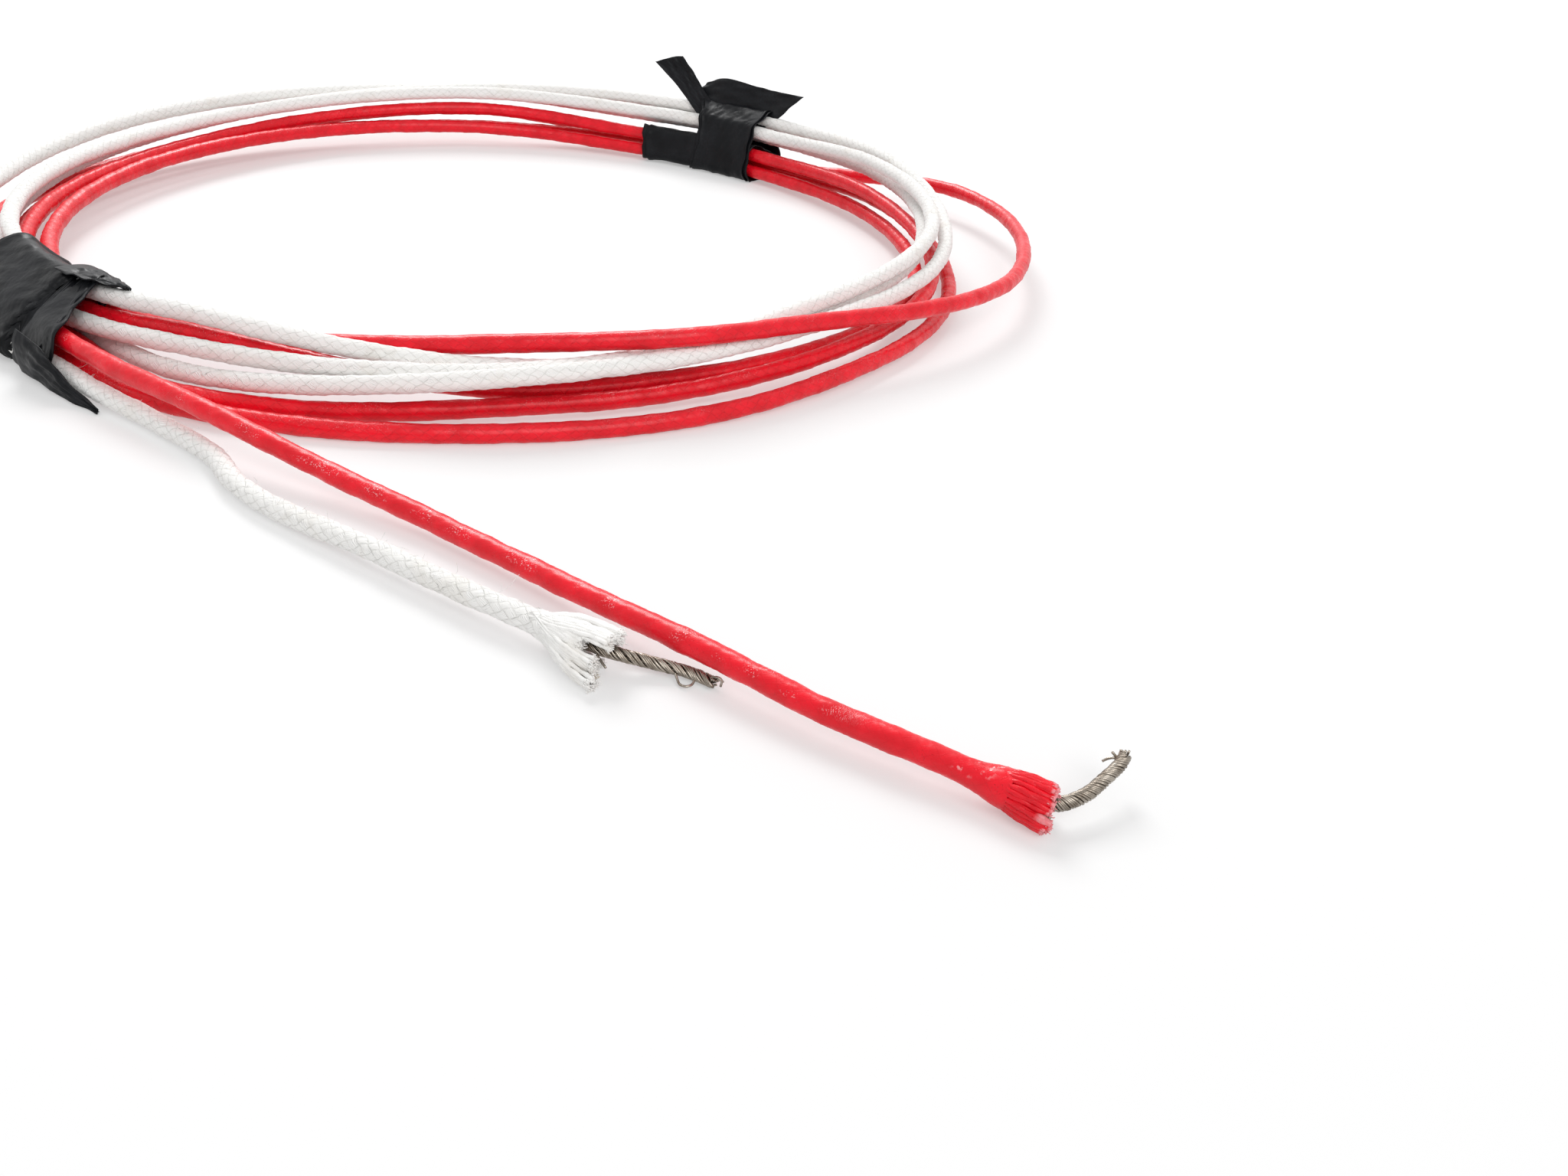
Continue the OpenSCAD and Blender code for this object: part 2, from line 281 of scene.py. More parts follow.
@dataclass
class Skin:
    """Gathers tubes and sheets, in millimetres, into one mesh."""

    points: list[np.ndarray] = field(default_factory=list)
    faces: list[np.ndarray] = field(default_factory=list)
    lay: list[np.ndarray] = field(default_factory=list)
    tips: list[np.ndarray] = field(default_factory=list)
    caps: list[np.ndarray] = field(default_factory=list)
    count: int = 0

    def grid(
        self,
        rings: np.ndarray,
        run: np.ndarray,
        capped: bool = True,
        tip: np.ndarray | float = Wear.WHOLE,
        girth: float = 1.0,
    ) -> None:
        """Adds a surface through closed rings of points.

        Args:
            rings: Points by ring and by place round it.
            run: Distance along the surface at each ring, for the lay map.
            capped: Whether its two ends are closed.
            tip: The wear, one number or one for each ring.
            girth: The way round it on the lay map, 1 for a whole wire.
        """
        m, n = rings.shape[:2]
        i, k = np.indices((m - 1, n))
        here, there = self.count + i * n, self.count + (i + 1) * n
        j = (k + 1) % n
        self.faces.append(np.stack([there + k, there + j, here + j, here + k], -1).reshape(-1, 4))
        u0, u1, v0, v1 = run[i], run[i + 1], girth * k / n, girth * (k + 1) / n
        self.lay.append(np.stack([u1, v0, u1, v1, u0, v1, u0, v0], axis=-1).reshape(-1, 2))
        self.points.append(rings.reshape(-1, 3))
        self.tips.append(np.repeat(np.broadcast_to(tip, (m,)), n).astype(float))
        if capped:
            self.caps.append(self.count + np.arange(n))
            self.caps.append(self.count + (m - 1) * n + np.arange(n)[::-1])
        self.count += m * n

    def tube(
        self,
        path: np.ndarray,
        radius: np.ndarray | float,
        sides: int,
        tip: np.ndarray | float = Wear.WHOLE,
        upward: np.ndarray = UP,
    ) -> None:
        """Adds a round tube along a path; see grid and tube_rings for the rest."""
        rings = tube_rings(path, np.broadcast_to(radius, (len(path),)), sides, upward)
        self.grid(rings, distances(path), tip=tip, girth=float(np.max(radius)) / WIRE_RADIUS)

    def made(
        self, name: str, material: bpy.types.Material, bake_rows: int = 0
    ) -> bpy.types.Object:
        """Makes the piece, riding on the part's body.

        Args:
            name: The piece's name.
            material: Its finish.
            bake_rows: Rows that a long tube is cut into on a bake map, or 0 for no such map.

        Returns:
            The finished piece.
        """
        quads, lay = np.concatenate(self.faces), np.concatenate(self.lay)
        corners = np.concatenate([quads.ravel(), *self.caps])
        sizes = np.array([4] * len(quads) + [len(cap) for cap in self.caps])
        mesh = bpy.data.meshes.new(name)
        mesh.vertices.add(self.count)
        mesh.vertices.foreach_set("co", (np.concatenate(self.points) * MM).ravel())
        mesh.loops.add(len(corners))
        mesh.loops.foreach_set("vertex_index", corners.astype(np.int32))
        mesh.polygons.add(len(sizes))
        mesh.polygons.foreach_set("loop_start", (np.cumsum(sizes) - sizes).astype(np.int32))
        mesh.polygons.foreach_set("use_smooth", np.ones(len(sizes), bool))
        maps = {LAY_MAP: lay}
        if bake_rows:
            maps[BAKE_MAP] = strip_map(lay, bake_rows)
        for title, places in maps.items():
            on_caps = np.zeros((len(corners) - len(places), 2))
            layer = mesh.uv_layers.new(name=title)
            layer.uv.foreach_set("vector", np.concatenate([places, on_caps]).ravel())
        tip = mesh.attributes.new("tip", "FLOAT", "POINT")
        tip.data.foreach_set("value", np.concatenate(self.tips).astype(np.float32))
        mesh.update(calc_edges=True)
        mesh.validate()
        mesh.materials.append(material)
        piece = put(name, mesh)
        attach(piece, BODY)
        LOG.info("%s: %d faces", name, len(mesh.polygons))
        return piece


def strip_map(lay: np.ndarray, rows: int) -> np.ndarray:
    """Cuts a long tube's lay map into rows that fill a square.

    Args:
        lay: Lay map corners, four to a face, U in millimetres and V from 0 to 1.
        rows: How many rows there are.

    Returns:
        The corners on the square.
    """
    u, v = lay.reshape(-1, 4, 2).transpose(2, 0, 1)
    length = u.max() / rows
    row = np.minimum(np.floor(u.min(axis=1) / length), rows - 1)[:, None]
    across = (u - row * length) / (1.02 * length) + 0.005
    up = (row + BAKE_GAP / 2 + (1 - BAKE_GAP) * v) / rows
    return np.stack([across, up], axis=-1).reshape(-1, 2)


# ---- Finishes ----


@dataclass(frozen=True)
class Signal:
    """A value inside a node tree, on which arithmetic adds Math nodes."""

    nodes: Nodes
    socket: bpy.types.NodeSocket

    def __add__(self, other: object) -> Signal:
        """Adds."""
        return self.nodes.math("ADD", self, other)

    def __sub__(self, other: object) -> Signal:
        """Takes away."""
        return self.nodes.math("SUBTRACT", self, other)

    def __rsub__(self, other: object) -> Signal:
        """Is taken away."""
        return self.nodes.math("SUBTRACT", other, self)

    def __mul__(self, other: object) -> Signal:
        """Multiplies."""
        return self.nodes.math("MULTIPLY", self, other)

    def __truediv__(self, other: object) -> Signal:
        """Divides."""
        return self.nodes.math("DIVIDE", self, other)


class Nodes:
    """Short hand for wiring a node tree."""

    def __init__(self, tree: bpy.types.NodeTree) -> None:
        """Empties the tree and keeps it."""
        self.tree = tree
        tree.nodes.clear()

    def add(self, kind: str, **settings: object) -> bpy.types.Node:
        """Adds a node of a kind and sets its options."""
        return settled(self.tree.nodes.new(f"ShaderNode{kind}"), **settings)

    def join(self, source: object, target: bpy.types.NodeSocket) -> None:
        """Gives an input what it works on.

        Args:
            source: A signal or an output to link, or a plain value.
            target: The input.
        """
        source = source.socket if isinstance(source, Signal) else source
        if isinstance(source, bpy.types.NodeSocket):
            self.tree.links.new(source, target)
        else:
            target.default_value = source

    def feed(self, node: bpy.types.Node, *values: object, **named: object) -> bpy.types.Node:
        """Gives a node's inputs what they work on.

        Args:
            node: The node.
            values: For its first inputs, in order.
            named: For inputs by name, with _ for each space.

        Returns:
            The node.
        """
        for value, socket in zip(values, node.inputs):
            self.join(value, socket)
        for name, value in named.items():
            self.join(value, node.inputs[name.replace("_", " ")])
        return node

    def math(self, operation: str, *inputs: object, clamp: bool = False) -> Signal:
        """Adds a Math node."""
        node = self.add("Math", operation=operation, use_clamp=clamp)
        return Signal(self, self.feed(node, *inputs).outputs[0])

    def sine(self, half_turns: Signal) -> Signal:
        """Gives the sine of an angle in half turns."""
        return self.math("SINE", half_turns * math.pi)

    def ramp(self, *values: object) -> Signal:
        """Maps a value smoothly: the value, its low and high, and what they become if not 0, 1."""
        node = self.add("MapRange", interpolation_type="SMOOTHSTEP")
        return Signal(self, self.feed(node, *values).outputs[0])

    def mix(self, share: object, first: object, second: object) -> Signal:
        """Mixes two colours.

        Args:
            share: How much there is of the second.
            first: The first colour.
            second: The second colour.

        Returns:
            The mixed colour.
        """
        node = self.add("Mix", data_type="RGBA")
        for value, number in ((share, 0), (first, 6), (second, 7)):
            self.join(value, node.inputs[number])
        return Signal(self, node.outputs[2])

    def place(self) -> bpy.types.NodeSocket:
        """Gives the piece's own coordinates."""
        return self.add("TexCoord").outputs["Object"]

    def noise(self, scale: object, detail: float = 2.0, roughness: float = 0.5) -> Signal:
        """Adds noise over the piece's own coordinates.

        Args:
            scale: How many features there are to a metre.
            detail: How many finer layers it has.
            roughness: How strong each layer is beside the one before.

        Returns:
            The noise, from 0 to 1.
        """
        node = self.add("TexNoise")
        self.feed(node, Vector=self.place(), Scale=scale, Detail=detail, Roughness=roughness)
        return Signal(self, node.outputs[0])

    def split(self, kind: str, source: bpy.types.NodeSocket) -> list[Signal]:
        """Splits a vector (XYZ) or a colour (Color) into its three numbers."""
        node = self.feed(self.add(f"Separate{kind}"), source)
        return [Signal(self, socket) for socket in node.outputs]

    def tip(self) -> Signal:
        """Reads the wear of the yarn."""
        return Signal(self, self.add("Attribute", attribute_name="tip").outputs["Fac"])

    def bump(self, height: Signal, depth: float) -> bpy.types.NodeSocket:
        """Turns a height into a normal; depth is in millimetres."""
        return self.feed(self.add("Bump"), Height=height, Distance=depth * MM).outputs[0]

    def group(self, tree: bpy.types.NodeTree, **inputs: float) -> dict[str, Signal]:
        """Places a shared effect, gives it its values and gives its outputs."""
        node = self.feed(self.add("Group", node_tree=tree), **inputs)
        return {socket.name: Signal(self, socket) for socket in node.outputs}


def new_group(name: str, inputs: dict[str, float], outputs: tuple) -> tuple[Nodes, list, list]:
    """Starts a shared effect.

    Args:
        name: The group's name.
        inputs: Its number inputs with what each is when left alone.
        outputs: Its number outputs.

    Returns:
        The node wirer, the inputs as signals inside, and the outputs' sockets inside.
    """
    tree = bpy.data.node_groups.new(name, "ShaderNodeTree")
    for way, titles in (("INPUT", inputs), ("OUTPUT", outputs)):
        for title in titles:
            tree.interface.new_socket(title, in_out=way, socket_type="NodeSocketFloat")
    for title, value in inputs.items():
        tree.interface.items_tree[title].default_value = value
    nodes = Nodes(tree)
    inside = tree.nodes.new("NodeGroupInput").outputs
    outside = tree.nodes.new("NodeGroupOutput").inputs
    given = [Signal(nodes, inside[title]) for title in inputs]
    return nodes, given, [outside[title] for title in outputs]


def braid_weave() -> bpy.types.NodeTree:
    """Builds the weave of a round braid, read from the lay map.

    Returns:
        A group with the filaments' height, and how deep a place lies between two carriers.
    """
    inputs = {"Filaments": 7.0, "Stray": 0.25}
    nodes, (filaments, stray), out = new_group("braid_weave", inputs, ("Filament", "Crevice"))
    run, round_it, _ = nodes.split("XYZ", nodes.add("UVMap", uv_map=LAY_MAP).outputs[0])
    bent = (nodes.noise(900.0) - 0.5) * stray
    along, around = run / BRAID_LAY * CARRIERS, round_it * CARRIERS
    carriers = (around - along + bent, around + along + bent)
    right, left = (nodes.sine(carrier) for carrier in carriers)
    over = nodes.ramp(right * left, -0.12, 0.12)
    under = 1.0 - over
    lines = [nodes.math("ABSOLUTE", nodes.sine(carrier * filaments)) for carrier in carriers]
    edges = [nodes.math("ABSOLUTE", wave) for wave in (right, left)]
    nodes.join(lines[0] * over + lines[1] * under, out[0])
    nodes.join(nodes.ramp(edges[0] * over + edges[1] * under, 0.05, 0.5, 1.0, 0.0), out[1])
    return nodes.tree


def fine_grain() -> bpy.types.NodeTree:
    """Builds small pits and cloudy patches, which every finish here has some of.

    Returns:
        A group with pits (1 in a pit) and clouds (0 to 1).
    """
    inputs = {"Pit Size": 0.3, "Pit Share": 0.35, "Cloud Size": 3.0}
    nodes, (size, share, cloud), out = new_group("fine_grain", inputs, ("Pits", "Clouds"))
    spots = nodes.add("TexVoronoi", feature="F1")
    nodes.feed(spots, Vector=nodes.place(), Scale=nodes.math("DIVIDE", 1 / MM, size))
    near = nodes.ramp(spots.outputs["Distance"], 0.12, 0.38, 1.0, 0.0)
    pick = nodes.split("Color", spots.outputs["Color"])[0]
    nodes.join(near * nodes.math("LESS_THAN", pick, share), out[0])
    clouds = nodes.noise(nodes.math("DIVIDE", 1 / MM, cloud))
    nodes.join(nodes.ramp(clouds, 0.3, 0.7), out[1])
    return nodes.tree


def new_material(name: str) -> tuple[bpy.types.Material, Nodes, bpy.types.Node]:
    """Starts a material.

    Args:
        name: Its name.

    Returns:
        The material, its node wirer and its surface shader.
    """
    material = bpy.data.materials.new(name)
    material.use_nodes = True
    nodes = Nodes(material.node_tree)
    surface = nodes.add("BsdfPrincipled")
    nodes.feed(nodes.add("OutputMaterial"), surface.outputs[0])
    return material, nodes, surface


@dataclass(frozen=True)
class LacqueredBraid:
    """Lacquered braid: glossy, coloured, pitted, pale cut yarns; painted crevice shade and glints."""

    name: str = "red_lacquered_braid"
    base: tuple = (0.82, 0.003, 0.016, 1.0)
    deep: tuple = (0.56, 0.002, 0.008, 1.0)
    cut: tuple = (0.80, 0.28, 0.30, 1.0)
    # pale pink of the painted glints
    painted_glint_colour: tuple = (0.95, 0.70, 0.72, 1.0)
    sheen: tuple = (1.0, 0.66, 0.70, 1.0)
    roughness: float = 0.5
    coat: float = 0.4

    def made(self, weave: bpy.types.NodeTree, grain: bpy.types.NodeTree) -> bpy.types.Material:
        """Makes the material.

        Args:
            weave: The weave of a braid.
            grain: Small pits and clouds.

        Returns:
            The material.
        """
        material, nodes, surface = new_material(self.name)
        yarn = nodes.group(weave, Filaments=5.0, Stray=0.5)
        marks = nodes.group(grain, Pit_Size=0.16, Pit_Share=0.3, Cloud_Size=2.2)
        tip = nodes.tip()
        coiled = nodes.ramp(tip, Wear.COILED, Wear.WHOLE, 1.0, 0.0)
        near_end = nodes.ramp(tip, Wear.WHOLE, Wear.NEAR_END)
        pale = nodes.ramp(tip + nodes.noise(2600.0, 3.0) * 0.5, 0.85, 1.25)

        # Painted glints: pale speck clusters on upward faces, bigger near the end, sparse on coils.
        patches = nodes.ramp(nodes.noise(330.0, 1.0), 0.5, 0.66)
        facing = nodes.split("XYZ", nodes.add("NewGeometry").outputs["Normal"])[2]
        painted_glint = nodes.noise(nodes.ramp(near_end, 0.0, 1.0, 7500.0, 2600.0))
        painted_glint = nodes.ramp(painted_glint, 0.57, 0.68) * nodes.ramp(facing, 0.3, 0.75)
        painted_glint = painted_glint * (patches * nodes.ramp(coiled, 0.0, 1.0, 0.75, 0.15))

        colour = nodes.mix(marks["Clouds"] * 0.55, self.base, self.deep)
        # Painted shade: the crevices between carriers are mixed toward the deep red.
        colour = nodes.mix(yarn["Crevice"] * 0.2, colour, self.deep)
        colour = nodes.mix(painted_glint, colour, self.painted_glint_colour)
        shine = (self.roughness - 0.1, self.roughness + 0.08)

        clusters = nodes.ramp(nodes.noise(420.0, 1.0), 0.48, 0.62, 0.15, 1.0)
        height = yarn["Filament"] * 0.12 - marks["Pits"] * clusters * 0.9
        height = height - yarn["Crevice"] * nodes.ramp(coiled, 0.0, 1.0, 0.3, 1.1)
        height = height + nodes.noise(1300.0) * 1.4
        nodes.feed(
            surface,
            Base_Color=nodes.mix(pale, colour, self.cut),
            Roughness=nodes.ramp(marks["Clouds"], 0.0, 1.0, *shine) + pale * 0.35,
            Normal=nodes.bump(height, 0.035),
            Specular_IOR_Level=0.2,
            Specular_Tint=self.sheen,
            Coat_Weight=nodes.math("ADD", painted_glint, self.coat, clamp=True),
            Coat_Roughness=0.26,
        )
        return material


@dataclass(frozen=True)
class CottonBraid:
    """Bare cotton braid: white, matt and hairy, with painted shade greying its crevices and gaps."""

    name: str = "white_cotton_braid"
    base: tuple = (0.90, 0.89, 0.87, 1.0)
    deep: tuple = (0.66, 0.65, 0.61, 1.0)
    stain: tuple = (0.60, 0.52, 0.40, 1.0)

    def made(self, weave: bpy.types.NodeTree, grain: bpy.types.NodeTree) -> bpy.types.Material:
        """Makes the material.

        Args:
            weave: The weave of a braid.
            grain: Small pits and clouds.

        Returns:
            The material.
        """
        material, nodes, surface = new_material(self.name)
        yarn = nodes.group(weave, Filaments=6.0, Stray=0.8)
        marks = nodes.group(grain, Pit_Size=0.4, Pit_Share=0.12, Cloud_Size=4.0)
        tip = nodes.tip()
        woven = nodes.ramp(tip, Wear.NEAR_END, Wear.LOOSE, 1.0, 0.0)
        crevice = yarn["Crevice"] * woven
        gap_shade = nodes.math("POWER", 1.0 - yarn["Filament"], 3.0)

        # Painted shade: crevices between carriers and gaps between filaments take the deep grey.
        colour = nodes.mix(crevice * 0.5, self.base, self.deep)
        colour = nodes.mix(gap_shade * nodes.ramp(woven, 0.0, 1.0, 0.03, 0.14), colour, self.deep)
        colour = nodes.mix(nodes.ramp(marks["Clouds"], 0.82, 1.0, 0.0, 0.12), colour, self.stain)
        # a browned strip's yarn ends and tufts are mixed toward the stain colour
        browned = nodes.ramp(tip, 1.2, Wear.BROWNED, 0.0, 0.8)

        height = yarn["Filament"] * nodes.ramp(woven, 0.0, 1.0, 0.35, 0.75)
        height = height + nodes.noise(3500.0, 3.0) - crevice * 1.3
        nodes.feed(
            surface,
            Base_Color=nodes.mix(browned, colour, self.stain),
            Roughness=0.85,
            Specular_IOR_Level=0.25,
            Sheen_Weight=0.25,
            Sheen_Roughness=0.5,
            Normal=nodes.bump(height, 0.03),
        )
        return material


@dataclass(frozen=True)
class TinnedStrand:
    """Tinned copper strand, dulled and a little brown in places."""

    name: str = "tinned_copper"
    bright: tuple = (0.47, 0.425, 0.37, 1.0)
    dull: tuple = (0.15, 0.12, 0.092, 1.0)

    def made(self, grain: bpy.types.NodeTree) -> bpy.types.Material:
        """Makes the material.

        Args:
            grain: Small pits and clouds.

        Returns:
            The material.
        """
        material, nodes, surface = new_material(self.name)
        marks = nodes.group(grain, Pit_Size=0.22, Pit_Share=0.5, Cloud_Size=0.8)
        worn = nodes.noise(2200.0, 4.0, 0.65)
        share = nodes.math("MULTIPLY", marks["Clouds"] + worn, 0.55, clamp=True)
        nodes.feed(
            surface,
            Base_Color=nodes.mix(share, self.bright, self.dull),
            Metallic=1.0,
            Roughness=nodes.ramp(worn, 0.35, 0.65, 0.18, 0.45),
            Normal=nodes.bump(worn - marks["Pits"] * 0.5, 0.012),
        )
        return material


@dataclass(frozen=True)
class VinylTape:
    """Black vinyl tape: satin, stretched, with fine creases and dust."""

    name: str = "black_tape"
    base: tuple = (0.004, 0.0045, 0.0055, 1.0)
    dusty: tuple = (0.017, 0.018, 0.021, 1.0)

    def made(self, grain: bpy.types.NodeTree) -> bpy.types.Material:
        """Makes the material.

        Args:
            grain: Small pits and clouds.

        Returns:
            The material.
        """
        material, nodes, surface = new_material(self.name)
        marks = nodes.group(grain, Pit_Size=0.5, Pit_Share=0.2, Cloud_Size=5.0)
        wrinkles, embossed = nodes.noise(240.0, 3.0, 0.55), nodes.noise(2400.0)
        dust = nodes.math("MULTIPLY", marks["Clouds"] * embossed, 0.9, clamp=True)
        height = wrinkles * 5.0 + embossed * 0.2 - marks["Pits"] * 0.1
        nodes.feed(
            surface,
            Base_Color=nodes.mix(dust, self.base, self.dusty),
            Roughness=nodes.ramp(marks["Clouds"], 0.0, 1.0, 0.34, 0.5),
            Specular_IOR_Level=0.13,
            Normal=nodes.bump(height, 0.08),
        )
        return material


# ---- Lanes of the coil ----


@dataclass(frozen=True)
class Ring:
    """The ring that the turns are charted on. Stations are degrees clockwise from the left tie."""

    radius: float = 57.5
    left_angle: float = 222.0
    stations: tuple = (12, 60, 112, 144, 168, 195, 228, 262, 281, 300, 330, 348)
    rear_tie: tuple = (144, 168)
    mouth: float = 12.0  # how far from its middle the left tie opens

    def point(self, station: np.ndarray, out: np.ndarray, height: np.ndarray) -> np.ndarray:
        """Places points beside the ring.

        Args:
            station: Where along the ring.
            out: How far outside it.
            height: How high.

        Returns:
            The points, X, Y and Z last.
        """
        angle = np.radians(self.left_angle - np.asarray(station, float))
        r = self.radius + np.asarray(out, float)
        return np.stack(np.broadcast_arrays(r * np.cos(angle), r * np.sin(angle), height), axis=-1)

    def clockwise(self, station: float) -> np.ndarray:
        """Gives the direction in which stations rise."""
        angle = math.radians(self.left_angle - station)
        return np.array([math.sin(angle), -math.cos(angle), 0.0])

    def from_tie(self, points: tuple) -> np.ndarray:
        """Places points given from the left tie's mouth.

        Args:
            points: Each one's distance along the wires, outward and up.

        Returns:
            The points, one a row.
        """
        along, out, height = np.asarray(points, float).T
        mouth = self.point(-self.mouth, out, height)
        return mouth - along[:, None] * self.clockwise(-self.mouth)


RING = Ring()


@dataclass(frozen=True)
class Route:
    """Where one wire runs: far end, turns round the ring, lead, and the bare conductor past it.

    A lane is how far outside the ring the wire's middle is, and its height. turns has a lane for
    each of the ring's stations, and entry and exit are the lanes at the left tie's two mouths.
    tail is how far the far end goes on and how high it ends. lead and tip are points from the tie.
    """

    turns: tuple
    entry: tuple
    exit: tuple
    tail: tuple
    lead: tuple
    tip: tuple
    tail_bare: float = 1.5
    low: float = 0.94  # least height of the wire's middle

    def chart(self) -> tuple[np.ndarray, np.ndarray]:
        """Lists what is charted, with the entry and the exit.

        Returns:
            The stations, and the lanes.
        """
        last = 360 * len(self.turns) + RING.mouth
        stations = [360 * t + s for t in range(len(self.turns)) for s in RING.stations]
        lanes = [lane for turn in self.turns for lane in turn]
        return np.array([-RING.mouth, *stations, last]), np.array([self.entry, *lanes, self.exit])

    def lanes(self, where: np.ndarray) -> np.ndarray:
        """Reads the lanes from a smooth curve that is level in the rear tie.

        Args:
            where: The stations.

        Returns:
            The lane at each.
        """
        stations, lanes = self.chart()
        slopes = inner_slopes(stations, lanes)
        slopes[np.isin(stations % 360, RING.rear_tie)] = 0
        return hermite(stations, lanes, slopes, where)

    def on_surface(self, path: np.ndarray) -> np.ndarray:
        """Lifts a path to where its wire lies on the surface and not in it."""
        path[:, 2] = self.low + 0.1 * np.logaddexp(0.0, (path[:, 2] - self.low) / 0.1)
        return path

    def coil(self) -> np.ndarray:
        """Lays the far end and every turn.

        Returns:
            Points from its tip to the left tie's middle.
        """
        last = self.chart()[0][-1]
        where = np.linspace(last, 0, int(last / 1.5) + 1)
        turns = RING.point(where, *self.lanes(where).T)
        end = turns[0] + self.tail[0] * RING.clockwise(last)
        end[2] = self.tail[1]
        return self.on_surface(np.concatenate([[end, (turns[0] + end) / 2], turns]))

    def leading(self) -> np.ndarray:
        """Lays the lead.

        Returns:
            Points from the left tie's middle to where the braid opens.
        """
        where = np.array([0.0, -3.0, -7.0, -RING.mouth])
        start = RING.point(where, *self.lanes(where).T)
        return self.on_surface(np.concatenate([start, RING.from_tie(self.lead)]))

    def bare(self) -> np.ndarray:
        """Lays the bare conductor.

        Returns:
            Points from inside the braid's end to its tip.
        """
        before, end = RING.from_tie(self.lead)[-2:]
        start = end + 2.5 * unit(before - end)
        return np.concatenate([[start, end], RING.from_tie(self.tip)])


RED_ROUTE = Route(
    turns=(
        ((4.7, 4.1), (3.1, 2.2), (1.4, 5.0), (1.3, 2.2), (1.3, 2.2), (13.5, 4.4),
         (10.5, 4.8), (-0.5, 6.8), (-1.5, 7.7), (-4.3, 6.8), (-4.4, 4.4), (-2.3, 3.4)),
        ((-2.3, 3.4), (-4.4, 3.8), (-3.5, 3.0), (-4.1, 1.7), (-4.1, 1.7), (-3.7, 2.2),
         (-2.5, 2.0), (-3.1, 2.4), (-3.9, 2.2), (-3.0, 2.5), (-2.2, 4.7), (0.1, 4.1)),
        ((0.1, 4.1), (-1.9, 4.0), (-1.7, 5.6), (-3.7, 4.2), (-3.7, 4.2), (-3.5, 5.2),
         (-0.3, 3.6), (-1.1, 2.6), (-1.9, 1.6), (-0.8, 1.5), (3.6, 0.8), (2.4, 1.7)),
        ((2.4, 1.7), (0.6, 2.7), (-1.0, 2.6), (-1.5, 2.2), (-1.5, 2.2), (-1.1, 3.6),
         (2.1, 1.6), (2.1, 1.4), (3.3, 1.0), (4.1, 0.8), (6.1, 0.8), (4.9, 1.7)),
    ),
    entry=(4.7, 4.1),
    exit=(4.9, 1.7),
    tail=(10.0, 1.1),
    lead=(
        (6.3, 5.6, 4.2), (16.1, 5.5, 4.2), (27.1, 4.4, 4), (36.5, 3, 3.2), (44.7, 1.5, 2.2),
        (54.6, 0, 1.6), (65.4, -0.7, 1.6), (75, -1, 1.9), (83, -1.3, 2.3), (90, -1.6, 2.3),
        (96.4, -2.1, 2.1), (104, -3.4, 2),
    ),
    tip=(
        (109.6, -4.4, 1.7), (112.3, -5.3, 1.6), (113.4, -7.3, 1.7), (113.8, -9.3, 2.1),
        (114, -11.2, 2.5), (113.9, -12, 2.9),
    ),
)
WHITE_ROUTE = Route(
    turns=(
        ((7.2, 4.6), (3.5, 7.6), (3.7, 7.2), (0.1, 6.4), (0.1, 6.4), (-0.3, 7.0),
         (-2.5, 6.4), (-5.7, 4.8), (-5.1, 4.0), (-3.1, 4.8), (-1.9, 7.0), (-0.1, 6.5)),
        ((1.1, 6.6), (-0.6, 6.5), (-1.6, 8.1), (-2.7, 7.6), (-2.7, 7.6), (-2.1, 9.2),
         (-1.3, 8.9), (-4.5, 7.0), (-3.3, 5.6), (-0.6, 5.3), (0.3, 4.5), (2.4, 4.2)),
        ((2.4, 4.2), (1.8, 5.4), (0.9, 8.1), (-0.5, 9.0), (-0.5, 9.0), (0.4, 9.5),
         (0.7, 6.6), (-2.6, 5.8), (-1.3, 5.7), (1.3, 5.5), (1.7, 2.3), (0.1, 1.7)),
    ),
    entry=(7.3, 1.7),
    exit=(0.1, 1.7),
    tail=(4.0, 1.6),
    lead=(
        (6.4, 6.8, 1.6), (12.2, 6.7, 1.4), (23.4, 5.8, 1), (32.4, 5.8, 1), (38.7, 7.2, 1),
        (43.6, 7.4, 1), (49.5, 6.9, 1.2), (56.7, 6.1, 1.5), (63.8, 5.4, 1.6), (73.2, 4.3, 1.8),
    ),
    tip=(
        (76.6, 3.8, 1.8), (79.7, 2.8, 1.5), (82.4, 1.1, 1), (84.9, -0.4, 0.6), (87.1, -0.8, 0.55),
    ),
)


# ---- Wires ----

# Wavelengths of what varies along a wire.
SWELL_WAVES = (2.6, 4.3, 7.9, 17.0)
OVAL_WAVES = (5.2, 13.0)
DRIFT_WAVES = (6.1, 11.0, 23.0)
LUMP_WAVES = (0.97, 1.43)
# And along a yarn or a strand.
SIDEWAYS_WAVES = (1.7, 2.9)
OUTWARD_WAVES = (1.3, 2.3)
GIRTH_WAVES = (0.9, 1.6)
TWIST_WAVES = (2.7, 4.9)
PROUD_WAVES = (1.1, 2.3)
# Steps along thin tubes, and their sides.
THIN_STEP = 0.12
CONDUCTOR_STEP = 0.07
FUZZ_STEP = 0.15
YARN_SIDES = 8
STRAND_SIDES = 7
TUFT_SIDES = 5
FUZZ_SIDES = 4
STEADY = 6  # how far from its ends a wire starts to drift sideways


@dataclass
class Strip:
    """A bundle of yarns that has come out of the braid.

    start is where round the wire it leaves, in degrees from the side away from the viewer, over the
    top. back is how far behind the opening that is. end is its cut end: along, toward the viewer,
    up. A worn strip's last yarn is pale: partly cut yarn, partly a painted highlight.
    """

    start: float
    back: float
    end: tuple
    width: float
    yarns: int = 7
    browned: bool = False
    worn: bool = False


